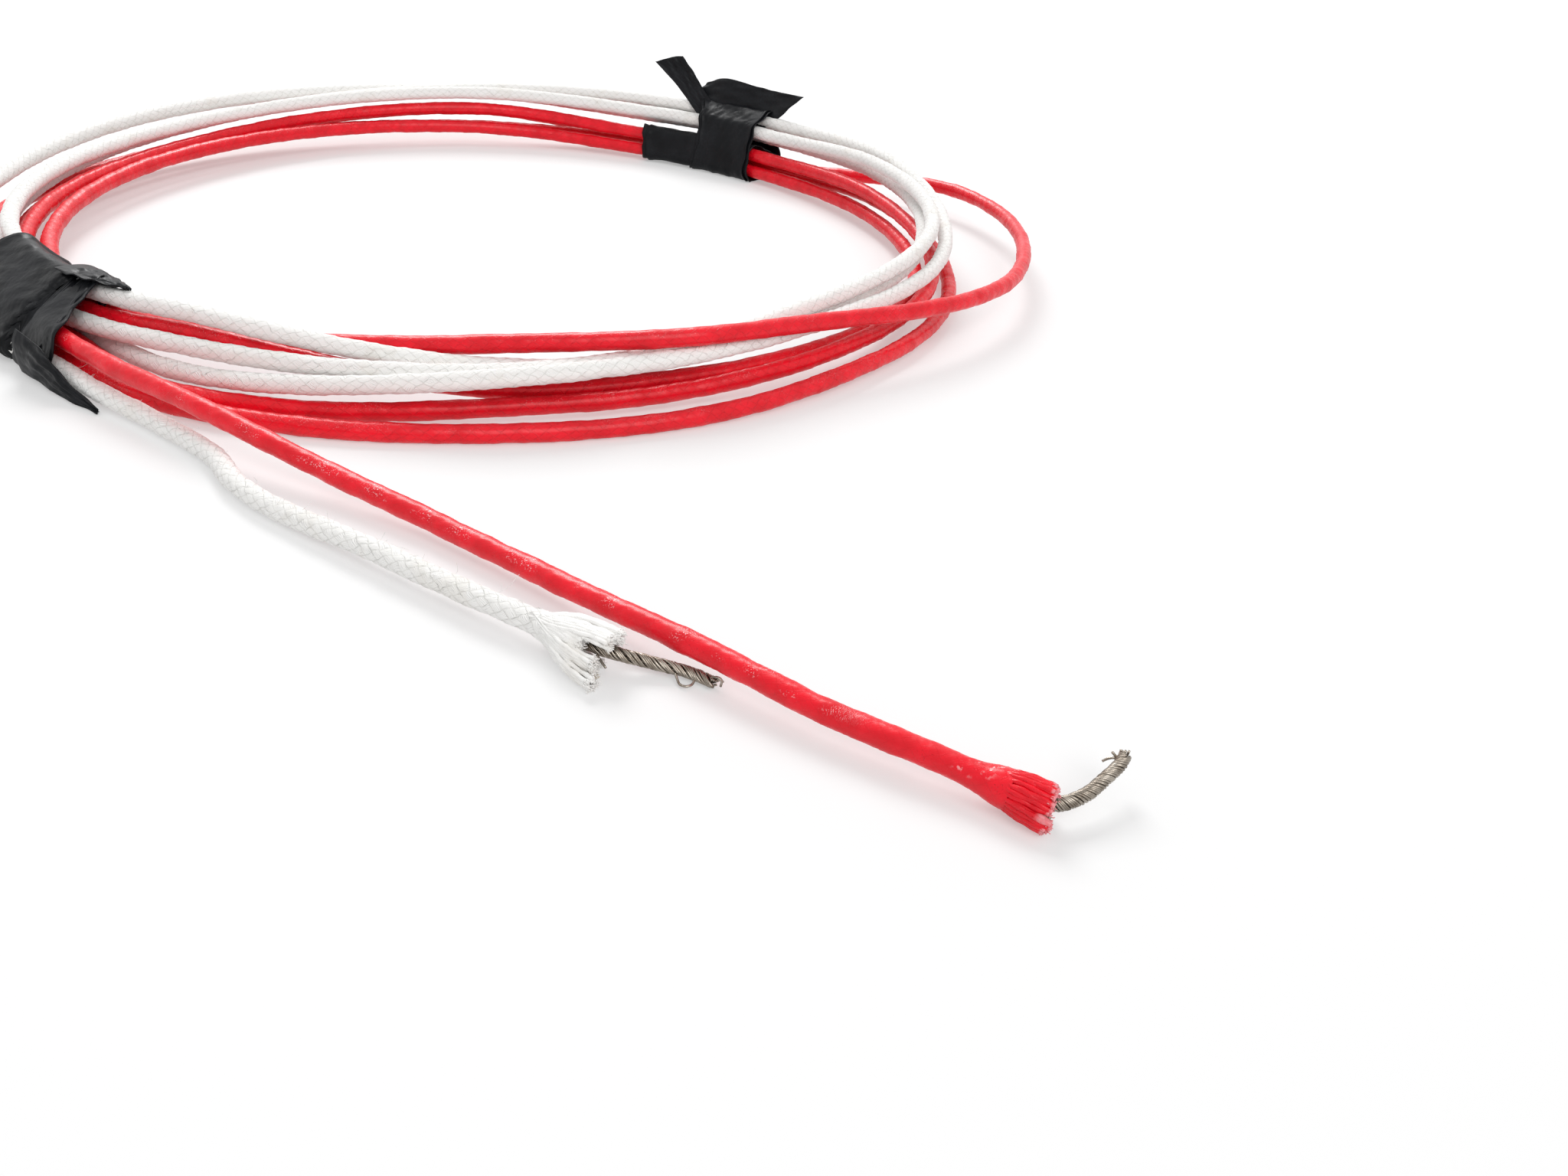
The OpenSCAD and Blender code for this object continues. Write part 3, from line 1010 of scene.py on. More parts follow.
@dataclass
class BraidedWire:
    """One wire: a braid with relief, its opened end and its bare conductor."""

    name: str
    route: Route
    finish: bpy.types.Material
    metal: bpy.types.Material
    strips: tuple
    strays: tuple
    stubs: tuple
    relief: float  # height of the carriers
    swell: float  # slow changes of its thickness
    opening: float  # how much wider the braid is where it opens
    flare: float  # how far before that it starts to widen
    braid_past: float  # how far past the lead's last point the braid reaches
    yarn_radius: float
    pale_length: float  # of a cut yarn
    tuft: float  # length of the filaments cut at a yarn's end
    tuft_spread: float
    tuft_hairs: int
    hair_radius: float
    coil_step: float = 0.35
    coil_sides: int = 16
    lead_step: float = 0.2
    lead_sides: int = 36
    near_end_span: tuple = (2.0, 18.0)  # how far from its end the lead is fully marked near its end, and marked at all (bigger painted glints)
    oval: float = 0.03
    wander: float = 0.05  # sideways
    lumps: float = 0.0  # height of small lumps on the lead
    beading: float = 0.0  # of the coil, once for each carrier
    unruly: float = 0.05  # how far a loose yarn strays
    depth: float = 0.03  # between a strip's two layers of yarns
    slant: float = 22.0  # degrees round the wire for each millimetre that a strip lies inside
    foot_depth: float = 0.2  # how far under the braid's skin a strip starts
    sunk: float = 0.2  # how far inside the braid's rim a strip leaves
    bulge: float = 0.06  # bow of a strip, as a share of its length
    puff: float = 0.0  # how much wider a strip gets at its end
    twist_pitch: float = 2.1  # of the conductor's strands
    slim: float = 0.86  # share of the conductor's width left at its tip
    fuzz_hairs: int = 0
    longest_fuzz: float = 2.6
    seed: int = 1

    def __post_init__(self) -> None:
        """Lays out the centreline and starts the wire's own random numbers."""
        self.rng = np.random.default_rng(self.seed)
        self.coil_path = Spline(self.route.coil()).even(self.coil_step)
        lead = self.route.leading()
        opened = np.concatenate([lead, RING.from_tie(self.route.tip)[:2]])
        path = Spline(opened).even(self.lead_step)
        last = int(np.argmin(np.linalg.norm(path - lead[-1], axis=1)))
        self.lead_path = path[: last + round(self.braid_past / self.lead_step) + 1]

    def braided(
        self, path: np.ndarray, start: float, sides: int, lumps: float = 0.0
    ) -> tuple[np.ndarray, np.ndarray]:
        """Shapes the braid's skin along a path.

        Args:
            path: The stretch of centreline.
            start: How much wire lies before it, so that the lay runs on.
            sides: Points on each ring.
            lumps: How high the small lumps on it are.

        Returns:
            The skin's rings, and the distance run at each.
        """
        run = start + distances(path)
        turn = np.arange(sides) / sides
        along, around = (CARRIERS * run / BRAID_LAY)[:, None], CARRIERS * turn
        right, left = np.sin(np.pi * (around - along)), np.sin(np.pi * (around + along))
        over = right * left
        crown = np.sqrt(np.abs(np.where(over > 0, right, left)))
        height = self.relief * (crown * (0.55 + 0.45 * np.sqrt(np.abs(over))) - 0.6)
        rng = np.random.default_rng(self.seed + 7)
        slow = self.swell * waves(run, SWELL_WAVES, rng)
        lean = TAU * rng.random()
        oval = self.oval * waves(run, OVAL_WAVES, rng)[:, None] * np.cos(2 * TAU * turn + lean)
        lump = np.sin(TAU * (run / LUMP_WAVES[0])[:, None] + 3 * TAU * turn)
        lump = lump * np.sin(TAU * (run / LUMP_WAVES[1])[:, None] - 4 * TAU * turn)
        drift = self.wander * waves(run, DRIFT_WAVES, rng)
        for ends in (distances(path), distances(path[::-1])[::-1]):
            drift = drift * smooth_step(0, STEADY, ends)
        path = path + drift[:, None] * Heading.of(path).side
        radius = WIRE_RADIUS + height + slow[:, None] + oval + lumps * lump
        return tube_rings(path, radius, sides), run

    def jacket(self) -> bpy.types.Object:
        """Makes the braid of the turns and of the lead, as one piece.

        Returns:
            The piece.
        """
        skin = Skin()
        rings, run = self.braided(self.coil_path, 0.0, self.coil_sides)
        beads = 0.5 + 0.5 * np.cos(TAU * CARRIERS * run / BRAID_LAY)
        rings = widened(self.coil_path, rings, 1 + self.beading * beads)
        skin.grid(rings, run, tip=Wear.COILED)
        rings, run = self.braided(self.lead_path, run[-1], self.lead_sides, self.lumps)
        left = distances(self.lead_path)[-1] - distances(self.lead_path)
        wider = 1 + (self.opening - 1) * (1 - smooth_step(0.0, self.flare, left))
        # marks the lead's last stretch, where the red braid's painted glints are bigger
        near_end = Wear.NEAR_END * (1 - smooth_step(*self.near_end_span, left))
        skin.grid(widened(self.lead_path, rings, wider), run, capped=False, tip=near_end)
        return skin.made(f"{self.name}_wire", self.finish, BAKE_ROWS)

    def end_axes(self) -> tuple[np.ndarray, np.ndarray]:
        """Finds where the braid opens.

        Returns:
            The point, and along, toward the viewer and up there.
        """
        along = unit(self.lead_path[-1] - self.lead_path[-6])
        away = unit(np.cross(UP, along))
        return self.lead_path[-1], np.stack([along, -away, np.cross(along, away)])

    def strip_path(self, strip: Strip, bow: int) -> tuple[np.ndarray, np.ndarray]:
        """Lays a strip from inside the braid out to its cut end.

        Args:
            strip: The strip.
            bow: Which way it comes round the wire, 1 or -1.

        Returns:
            Points along it, and the way its outer face looks at each.
        """
        origin, axes = self.end_axes()
        along = axes[0]
        angles = np.radians([strip.start - self.slant * bow * strip.back, strip.start])
        first, leaving = np.stack([0 * angles, -np.cos(angles), np.sin(angles)], axis=1) @ axes
        foot = origin - strip.back * along + (WIRE_RADIUS - self.foot_depth) * first
        rim = origin - 0.1 * along + (WIRE_RADIUS * self.opening - self.sunk) * leaving
        end = origin + np.array(strip.end) @ axes
        half = 0.5 * (rim + end) + self.bulge * np.linalg.norm(end - rim) * leaving
        path = lifted(Spline([foot, rim, half, end]).even(THIN_STEP), STRIP_HEIGHT)
        share = np.linspace(0, 1, len(path))[:, None]
        spread = end - origin - along * np.dot(end - origin, along)
        return path, unit((1 - share) * leaving + share * unit(spread))

    def fray(self) -> bpy.types.Object:
        """Makes the strips of yarn that stand off the opened end, with their cut filaments.

        Returns:
            The piece.
        """
        skin = Skin()
        for number, strip in enumerate(self.strips):
            path, outward = self.strip_path(strip, 1 - 2 * (number % 2))
            for layer in (1, -1):
                for k in range(strip.yarns):
                    self.yarn(skin, strip, path, outward, layer, k)
        return skin.made(f"{self.name}_fray", self.finish)

    def yarn(
        self, skin: Skin, strip: Strip, path: np.ndarray, outward: np.ndarray, layer: int, k: int
    ) -> None:
        """Adds one yarn of a strip.

        Args:
            skin: Where it goes.
            strip: The strip.
            path: Points along the strip.
            outward: The way its outer face looks at each.
            layer: 1 for the outer layer of yarns, -1 for the inner one.
            k: Which yarn of the layer it is.
        """
        at = Heading.of(path, outward)
        run = distances(path)
        share = run / run[-1]
        thin = smooth_step(-0.1, 0.5, share)
        puff = 1 + self.puff * smooth_step(0.75, 1.0, share)
        half = 0.5 * strip.width * (0.55 + 0.45 * thin) * puff
        end_wear = Wear.BROWNED if strip.browned else Wear.CUT
        across = (k + 0.5) / strip.yarns * 2 - 1
        n = max(8, int((1 - 0.07 * self.rng.random()) * len(path)))
        wobble = self.unruly * waves(run, SIDEWAYS_WAVES, self.rng) * share
        arch = math.sqrt(1 - across**2)
        crown = (layer * (0.06 + self.depth * arch) * thin + 0.1 * arch**2) * puff
        crown = crown + 0.7 * self.unruly * waves(run, OUTWARD_WAVES, self.rng) * share
        middle = path + (across * half + wobble)[:, None] * at.side + crown[:, None] * at.up
        middle = lifted(middle, self.yarn_radius)
        radius = self.yarn_radius * thin * (1 + 0.12 * waves(run, GIRTH_WAVES, self.rng))
        cut_off = 1 - smooth_step(0.0, self.pale_length, run[n - 1] - run)
        # A worn strip's last yarn turns pale toward its end: partly cut yarn, partly a painted
        # highlight.
        if strip.worn and k == strip.yarns - 1:
            cut_off = np.maximum(cut_off, 0.8 * smooth_step(0.6, 0.85, share))
        pale = Wear.LOOSE + (end_wear - Wear.LOOSE) * cut_off
        skin.tube(middle[:n], radius[:n], YARN_SIDES, tip=pale[:n], upward=outward[:n])
        self.tufts(skin, middle[n - 1], unit(middle[n - 1] - middle[n - 4]), end_wear)

    def tufts(self, skin: Skin, root: np.ndarray, heading: np.ndarray, end_wear: float) -> None:
        """Adds the cut filaments at the end of one yarn.

        Args:
            skin: Where they go.
            root: The yarn's end.
            heading: The way the yarn points.
            end_wear: Their wear.
        """
        radius = self.hair_radius * np.array([1.0, 0.95, 0.7])
        for _ in range(self.tuft_hairs):
            side = self.rng.normal(size=3)
            start = root + 0.55 * self.yarn_radius * side - 0.12 * heading
            reach = self.tuft * (0.4 + 0.8 * self.rng.random())
            way = unit(heading + self.tuft_spread * side)
            bent = unit(way + self.tuft_spread * self.rng.normal(size=3))
            hair = [start, start + 0.5 * reach * way, start + 0.5 * reach * (way + bent)]
            skin.tube(lifted(np.stack(hair), TUFT_HEIGHT), radius, TUFT_SIDES, tip=end_wear)

    def tip(self) -> bpy.types.Object:
        """Makes the bare conductor in front of the braid, with its strays.

        Returns:
            The piece.
        """
        path = lifted(Spline(self.route.bare()).even(CONDUCTOR_STEP), CONDUCTOR_RADIUS + 0.02)
        skin = Skin()
        self.strand_bundle(skin, path, self.slim)
        mouth, axes = self.end_axes()
        for root, frame, loose in ((path[-1], np.eye(3), self.strays), (mouth, axes, self.stubs)):
            for stray in loose:
                points = lifted(root + np.asarray(stray, float) @ frame, STRAY_HEIGHT)
                skin.tube(Spline(points).even(THIN_STEP), STRAY_RADIUS, STRAND_SIDES)
        return skin.made(f"{self.name}_tip", self.metal)

    def strand_bundle(self, skin: Skin, path: np.ndarray, slim: float) -> None:
        """Adds the twisted strands of a conductor: six pairs round a core of five.

        Args:
            skin: Where they go.
            path: The conductor's centreline.
            slim: The share of its width that it has left at its end.
        """
        run = distances(path)
        at = Heading.of(path)
        narrow = 1 + (slim - 1) * smooth_step(0.35, 1.0, run / run[-1])
        uneven = 0.12 * waves(run, TWIST_WAVES, self.rng)
        core = [(k / 5, 0.2) for k in range(5)]
        outer = CONDUCTOR_RADIUS - 0.6 * STRAND_RADIUS
        pairs = [((k // 2 * 2 + (0.9 if k % 2 else 0.1)) / 12, outer) for k in range(12)]
        for place, radius in core + pairs:
            phase = TAU * (place + 0.02 * self.rng.normal())
            turn = phase + uneven + TAU * run / self.twist_pitch
            proud = radius * narrow * (1 + 0.06 * waves(run, PROUD_WAVES, self.rng))
            middle = path + (proud * np.cos(turn))[:, None] * at.side
            middle = middle + (proud * np.sin(turn))[:, None] * at.up
            whole = len(path) - int(self.rng.integers(0, 8))
            skin.tube(middle[:whole], STRAND_RADIUS, STRAND_SIDES)

    def far_tip(self) -> bpy.types.Object:
        """Makes the stub of conductor at the far end, behind the left tie.

        Returns:
            The piece.
        """
        end = self.coil_path[0]
        out = unit(end - self.coil_path[4])
        skin = Skin()
        path = np.linspace(end - 2.0 * out, end + self.route.tail_bare * out, 40)
        self.strand_bundle(skin, path, 1.0)
        return skin.made(f"{self.name}_far_tip", self.metal)

    def fuzz(self) -> bpy.types.Object:
        """Makes the fine hairs that stand off the lead, more of them toward its end.

        Returns:
            The piece.
        """
        skin = Skin()
        at = Heading.of(self.lead_path)
        for _ in range(self.fuzz_hairs):
            i = int((len(self.lead_path) - 1) * (1 - 0.75 * self.rng.random() ** 1.5))
            angle = math.pi * (0.05 + 0.9 * self.rng.random())
            out = math.cos(angle) * at.side[i] + math.sin(angle) * at.up[i]
            reach = self.longest_fuzz * (0.25 + 0.75 * self.rng.random() ** 2)
            way = unit(at.along[i] + 0.35 * out + 0.25 * self.rng.normal(size=3))
            start = self.lead_path[i] + 0.9 * WIRE_RADIUS * out - 0.3 * at.along[i]
            bent = unit(way + 0.5 * self.rng.normal(size=3) + 0.2 * UP)
            knee = start + 0.4 * reach * way
            hair = lifted(np.stack([start, knee, knee + 0.6 * reach * bent]), FUZZ_HEIGHT)
            skin.tube(Spline(hair).even(FUZZ_STEP), FUZZ_RADIUS, FUZZ_SIDES)
        return skin.made(f"{self.name}_fuzz", self.finish)

    def build(self) -> list[bpy.types.Object]:
        """Returns:
            Its pieces.
        """
        jacket, fray, tip, far = self.jacket(), self.fray(), self.tip(), self.far_tip()
        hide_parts(f"{self.name}_braid_coil", f"{self.name}_braid_lead")
        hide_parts(f"{self.name}_lead_fray")
        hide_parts(f"{self.name}_conductor")
        hairs = [self.fuzz()] if self.fuzz_hairs else []
        loose = [fray, tip, far, *hairs]
        return [jacket, *loose]


RED_STRIPS = (
    Strip(8, 1.6, (2.4, -1.15, 0.15), 1.05, 3),
    Strip(44, 1.3, (2.7, -0.85, 0.75), 1.05, 3),
    Strip(78, 1.9, (3.0, -0.25, 1.05), 1.1, 4),
    Strip(112, 1.2, (3.1, 0.4, 0.85), 1.05, 3),
    Strip(141, 1.7, (3.2, 0.8, 0.4), 0.85, 3),
    Strip(184, 1.6, (3.4, 1.35, -0.4), 0.95, 3, worn=True),
    Strip(215, 1.5, (3.2, 1.3, -0.9), 1.05, 4),
    Strip(250, 1.8, (3.0, 0.6, -1.3), 1.05, 3),
    Strip(290, 1.5, (2.6, -0.4, -1.25), 1.05, 3),
    Strip(330, 1.5, (2.4, -1.05, -0.6), 1.05, 3),
)
WHITE_STRIPS = (
    Strip(20, 2.4, (4.3, -1.5, 0.3), 1.2),
    Strip(72, 2.4, (5.0, -1.0, 0.9), 1.3),
    Strip(110, 2.8, (5.1, -0.1, 1.0), 1.4),
    Strip(140, 1.5, (2.9, 0.9, 0.5), 1.2),
    Strip(168, 2.6, (4.6, 1.5, -0.5), 1.4),
    Strip(204, 3.0, (5.1, 2.4, -1.3), 1.4),
    Strip(245, 2.4, (4.3, 1.7, -1.6), 1.2, browned=True),
    Strip(292, 2.0, (3.6, 0.2, -1.5), 1.2),
)
# Loose strands from a conductor's tip: right, away and up.
RED_STRAYS = (
    ((-0.05, -0.3, -1.5), (-0.3, -0.3, -0.8), (-0.75, -0.25, -0.35), (-1.2, -0.2, -0.5),
     (-1.5, -0.2, -0.75)),
    ((-0.1, -0.25, -1.2), (-0.35, -0.3, -0.5), (-0.75, -0.25, -0.15), (-1.0, -0.2, 0.1)),
    ((-0.15, 0.0, -0.9), (-0.15, 0.0, -0.3), (-0.3, 0.0, 0.1), (-0.45, 0.0, 0.15)),
    ((0.1, 0.1, -0.9), (0.15, 0.1, -0.3), (0.2, 0.1, 0.1)),
)
WHITE_STRAYS = (
    ((-3.1, 0.75, 0.1), (-2.85, 0.3, -0.2), (-2.6, -0.15, -0.3), (-2.15, -0.3, -0.3),
     (-1.75, 0.0, -0.3), (-1.6, 0.5, -0.1)),
    ((-0.5, 0.2, 0.35), (0.1, 0.0, 0.55), (0.4, -0.1, 0.3), (0.35, -0.2, -0.1)),
    ((-0.5, 0.4, 0.2), (0.2, 0.3, 0.3), (0.5, 0.2, 0.0)),
)
# Loose strands from where a braid opens: along, toward the viewer and up.
RED_STUBS = (
    ((2.0, 0.3, -0.35), (2.4, 0.45, -0.5), (2.75, 0.5, -0.65)),
    ((2.0, 0.15, -0.4), (2.5, 0.25, -0.6), (2.95, 0.3, -0.7)),
)
WHITE_STUBS = (((3.6, 0.3, -0.3), (4.3, 0.6, -0.55), (4.8, 0.8, -0.7)),)


# ---- Ties ----

# Four slanted waves each: how many there are across and along a piece of tape.
WOUND_CREASES = ((3, 1.4), (5, -2.3), (11, 3.1), (2, 4.0))
SHEET_CREASES = ((1.3, 2.1), (2.2, -1.1), (4.1, 1.2), (0, 5.3))
# Wavelengths of the waviness of a turn's two edges, as shares of the way round.
EDGE_WAVES = ((0.5, 0.21, 0.093), (0.5, 0.17, 0.11))


def creases(
    x: np.ndarray, y: np.ndarray, counts: tuple, second: float, rng: np.random.Generator
) -> np.ndarray:
    """Crumples a piece of tape.

    Args:
        x: Shares of the way across it.
        y: Shares of the way along it.
        counts: How many of each of four slanted waves there are across and along.
        second: How much the last two waves count.
        rng: Random numbers for their phases.

    Returns:
        The height of the creases.
    """
    phases = rng.random(4)
    a, b, c, d = (np.sin(TAU * (m * x + n * y + p)) for (m, n), p in zip(counts, phases))
    return a * b + second * c * d


@dataclass(frozen=True)
class Turn:
    """One turn of tape.

    first and last are its edges, as stations from the tie's middle: under the wires, outside them,
    over them and inside the ring. wires is how many of the tie's wires it is wound round.
    """

    first: tuple
    last: tuple
    wires: int = 2


@dataclass
class TapeTie:
    """Tape wound round the bundle of wires, with its loose ends."""

    name: str
    station: float
    routes: tuple
    finish: bpy.types.Material
    turns: tuple
    ends: tuple
    seed: int
    lead_step: float = 0.5
    lead_points: int = 60
    ragged: float = 0.3  # waviness of a turn's edges, in degrees
    bumps: float = 0.09  # height of a turn's creases
    bump_base: float = 0.06
    flare: float = 0.25  # how far a turn's edges stand off
    flare_start: float = 0.82  # where that begins, as a share of half the width
    air: float = 0.12  # between the wires and the first turn
    around: int = 96
    across: int = 44
    slices: int = 24  # loops pulled round the wires for one turn
    directions: int = 720
    sheet_rows: int = 30
    sheet_columns: int = 36
    crumple: float = 0.14  # height of a loose end's creases

    def __post_init__(self) -> None:
        """Lays out the leads, whose lanes the tie needs near its mouth."""
        self.leads = []
        for route in self.routes:
            x, y, height = Spline(route.leading()).even(self.lead_step)[: self.lead_points].T
            station = RING.left_angle - np.degrees(np.arctan2(y, x)) % 360
            self.leads.append((station, np.hypot(x, y) - RING.radius, height))

    def lanes_at(self, station: float, wires: int) -> np.ndarray:
        """Finds every pass of the wires at a station near the tie.

        Args:
            station: Where along the ring.
            wires: How many of the tie's wires count.

        Returns:
            Their lanes, one a row.
        """
        found = []
        for route, (stations, *lane) in zip(self.routes[:wires], self.leads):
            charted, _ = route.chart()
            where = np.array([station + 360 * k for k in range(-1, len(route.turns) + 1)])
            found.append(route.lanes(where[(where >= charted[0]) & (where <= charted[-1])]))
            if stations.min() < station < charted[0]:
                order = np.argsort(stations)
                found.append([[np.interp(station, stations[order], v[order]) for v in lane]])
        return np.concatenate(found)

    def section(self, station: float, off: float, places: np.ndarray, wires: int) -> np.ndarray:
        """Pulls a loop round the wires at a station.

        Args:
            station: Where along the ring.
            off: How far the loop stays off the wires' middles.
            places: Shares of the way round, from under the wires outward and up over them.
            wires: How many of the tie's wires are inside.

        Returns:
            The loop's [outside the ring, height] at each place.
        """
        lanes = self.lanes_at(station, wires)
        angle = np.linspace(-np.pi / 2, 1.5 * np.pi, self.directions, endpoint=False)
        normal = np.stack([np.cos(angle), np.sin(angle)], axis=1)
        loop = lanes[np.argmax(lanes @ normal.T, axis=0)] + off * normal
        loop[:, 1] = np.maximum(loop[:, 1], LOOP_HEIGHT)
        closed = np.concatenate([loop, loop[:1]])
        run = distances(closed)
        where = (places % 1.0) * run[-1]
        return np.stack([np.interp(where, run, closed[:, k]) for k in (0, 1)], axis=1)

    def wound(self, skin: Skin, turn: Turn, number: int, rng: np.random.Generator) -> None:
        """Adds one turn of tape.

        Args:
            skin: Where it goes.
            turn: Its edges.
            number: Which turn it is, counted outward.
            rng: Random numbers for its creases.
        """
        places = np.linspace(0, 1, self.around, endpoint=False)
        share = np.linspace(0, 1, self.across)[:, None]
        quarters = np.arange(-1, 6)
        edges = []
        for edge, lengths in zip((turn.first, turn.last), EDGE_WAVES):
            marks = np.stack([quarters / 4, np.take(edge, quarters, mode="wrap")], axis=1)
            edge = np.interp(places, *Spline(marks).spread(400).T)
            edges.append(edge + self.ragged * waves(places, lengths, rng))
        stations = self.station + edges[0] + (edges[1] - edges[0]) * share

        off = WIRE_RADIUS + self.air + TAPE * number
        sections = np.linspace(stations.min(), stations.max(), self.slices)
        loops = np.stack([self.section(float(s), off, places, turn.wires) for s in sections])
        spot = (stations - sections[0]) / (sections[1] - sections[0])
        low = np.clip(spot.astype(int), 0, self.slices - 2)
        part = (spot - low)[..., None]
        columns = np.arange(self.around)
        loop = loops[low, columns] * (1 - part) + loops[low + 1, columns] * part

        wide = np.roll(loop, -1, axis=1) - np.roll(loop, 1, axis=1)
        normal = unit(np.stack([wide[..., 1], -wide[..., 0]], axis=-1))
        crease = creases(places, share, WOUND_CREASES, 0.6, rng)
        swell = self.bumps * np.maximum(crease, -0.7) + self.bump_base
        flare = self.flare * (smooth_step(self.flare_start, 1.0, np.abs(2 * share - 1)) ** 2)
        near = loop + (swell + flare)[..., None] * normal
        near[..., 1] = np.maximum(near[..., 1], TAPE_HEIGHT)
        faces = (near, near - TAPE * normal)
        outer, inner = (RING.point(stations, face[..., 0], face[..., 1]) for face in faces)
        rows = np.concatenate([inner[::-1], outer, inner[-1:]])
        skin.grid(rows[::-1], distances(rows[:, 0]), capped=False)

    def sheet(self, skin: Skin, through: np.ndarray, rng: np.random.Generator) -> None:
        """Adds a loose end of tape, crumpled, as a thin closed sheet.

        Args:
            skin: Where it goes.
            through: Points by row and column: station, outward, height.
            rng: Random numbers for its creases.
        """
        rows, columns = self.sheet_rows, self.sheet_columns
        grid = RING.point(self.station + through[..., 0], through[..., 1], through[..., 2])
        wide = np.stack([Spline(row).spread(columns) for row in grid], axis=1)
        fine = np.stack([Spline(column).spread(rows) for column in wide], axis=1)
        normal = unit(np.cross(np.gradient(fine, axis=0), np.gradient(fine, axis=1)))
        out, along = np.linspace(0, 1, rows)[:, None], np.linspace(0, 1, columns)
        crease = creases(out, along, SHEET_CREASES, 0.5, rng)
        crease = self.crumple * crease * smooth_step(0.0, 0.3, out)
        fine = fine + crease[..., None] * normal
        front, back = fine + 0.5 * TAPE * normal, fine - 0.5 * TAPE * normal
        loop = np.concatenate([front, back[:, ::-1]], axis=1)
        skin.grid(loop, distances(loop[:, 0]))

    def build(self) -> bpy.types.Object:
        """Returns:
            The piece.
        """
        rng = np.random.default_rng(self.seed)
        skin = Skin()
        for number, turn in enumerate(self.turns, 1):
            self.wound(skin, turn, number, rng)
        for end in self.ends:
            self.sheet(skin, np.asarray(end, float), rng)
        piece = skin.made(f"{self.name}_tape", self.finish)
        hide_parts(self.name)
        return piece


# Loose ends of tape, by row and column: degrees clockwise from the tie's middle, outward, height.
LEFT_ENDS = (
    # ear that points along the wires
    (
        ((-3, -3.6, 6.6), (-3, -2.2, 7.7), (-3, -0.6, 8.1), (-3, 1.4, 8.2)),
        ((-6, -3.4, 6.7), (-6, -2.0, 7.8), (-6, -0.4, 8.2), (-6, 1.4, 8.3)),
        ((-9.5, -2.4, 7.2), (-9.5, -1.6, 7.8), (-9.5, -0.6, 8.2), (-9.5, 0.6, 8.3)),
        ((-12.6, -1.1, 7.9), (-12.6, -0.9, 8.0), (-12.6, -0.7, 8.1), (-12.6, -0.5, 8.2)),
    ),
    # cut end that trails along the outer wire
    (
        ((-8, 8.6, 5.0), (-8, 9.2, 3.8), (-8, 9.2, 2.2), (-8, 8.9, 0.6)),
        ((-12, 8.9, 4.2), (-12, 9.3, 3.1), (-12, 9.4, 1.8), (-12, 9.2, 0.4)),
        ((-15, 9.2, 2.1), (-15, 9.5, 1.5), (-15, 9.6, 0.9), (-15, 9.6, 0.3)),
        ((-19, 9.8, 0.55), (-19, 9.9, 0.45), (-19, 10.0, 0.3), (-19, 10.0, 0.15)),
    ),
)
REAR_ENDS = (
    # free end, standing up toward the left
    (
        ((-0.6, -2.3, 6.8), (-0.4, -2.0, 8.2), (-0.2, -1.6, 9.4), (0.0, -1.3, 10.2)),
        ((-3.2, -1.9, 8.9), (-2.8, -1.5, 9.9), (-2.3, -1.1, 10.9), (-1.8, -0.9, 11.7)),
        ((-7.0, -0.9, 12.0), (-6.2, -0.5, 12.9), (-5.2, -0.3, 13.8), (-4.4, -0.3, 14.4)),
        ((-11.2, -0.4, 15.2), (-9.6, -0.1, 15.8), (-7.9, 0.0, 16.4), (-6.6, 0.0, 16.6)),
    ),
    # crumpled upper edge, pointing to the right
    (
        ((-3.5, -1.0, 8.8), (1.0, -1.4, 9.0), (6.0, -1.2, 8.6), (10.0, -1.4, 7.8)),
        ((-3.2, -0.2, 10.8), (1.5, -0.9, 11.0), (7.0, -0.1, 10.6), (12.6, -0.6, 10.0)),
        ((-2.8, 0.6, 12.4), (1.5, -0.4, 12.9), (7.5, 0.6, 12.4), (14.6, 0.2, 12.2)),
        ((-1.8, 0.9, 13.2), (1.8, 0.2, 14.3), (8.0, 0.9, 13.7), (16.6, 0.6, 14.0)),
    ),
    # fold behind it
    (
        ((-2.0, 1.6, 9.0), (2.0, 1.9, 9.4), (6.0, 1.8, 9.2), (10.0, 1.6, 8.6)),
        ((-2.0, 1.8, 10.8), (2.0, 2.2, 11.2), (6.5, 2.0, 11.0), (11.5, 1.7, 10.6)),
        ((-1.6, 1.6, 12.2), (2.4, 1.5, 12.9), (7.0, 1.8, 12.8), (13.0, 1.2, 12.6)),
        ((-0.6, 1.0, 12.9), (3.0, 0.8, 13.8), (8.0, 1.4, 13.6), (14.5, 1.0, 13.6)),
    ),
)
LEFT_TURNS = (
    Turn((-9.0, -10.5, -8.0, -4.5), (10.6, 10.2, 9.2, 9.2)),
    Turn((-11.0, -12.0, -9.0, -5.2), (11.2, 10.8, 9.4, 9.6)),
    Turn((-10.4, -12.6, -9.6, -5.8), (10.8, 10.4, 9.8, 9.0)),
)
REAR_TURNS = (
    Turn((-11.2, -10.6, -11.0, -11.6), (10.4, 10.2, 10.0, 10.2), wires=1),
    Turn((-10.4, -11.0, -10.4, -10.8), (10.8, 10.6, 10.6, 10.6), wires=1),
    Turn((-2.0, -4.0, -2.8, -0.8), (10.8, 10.4, 11.4, 10.6)),
    Turn((-1.4, -3.4, -2.2, -0.2), (10.2, 10.8, 10.8, 10.0)),
)


# ---- Stage ----


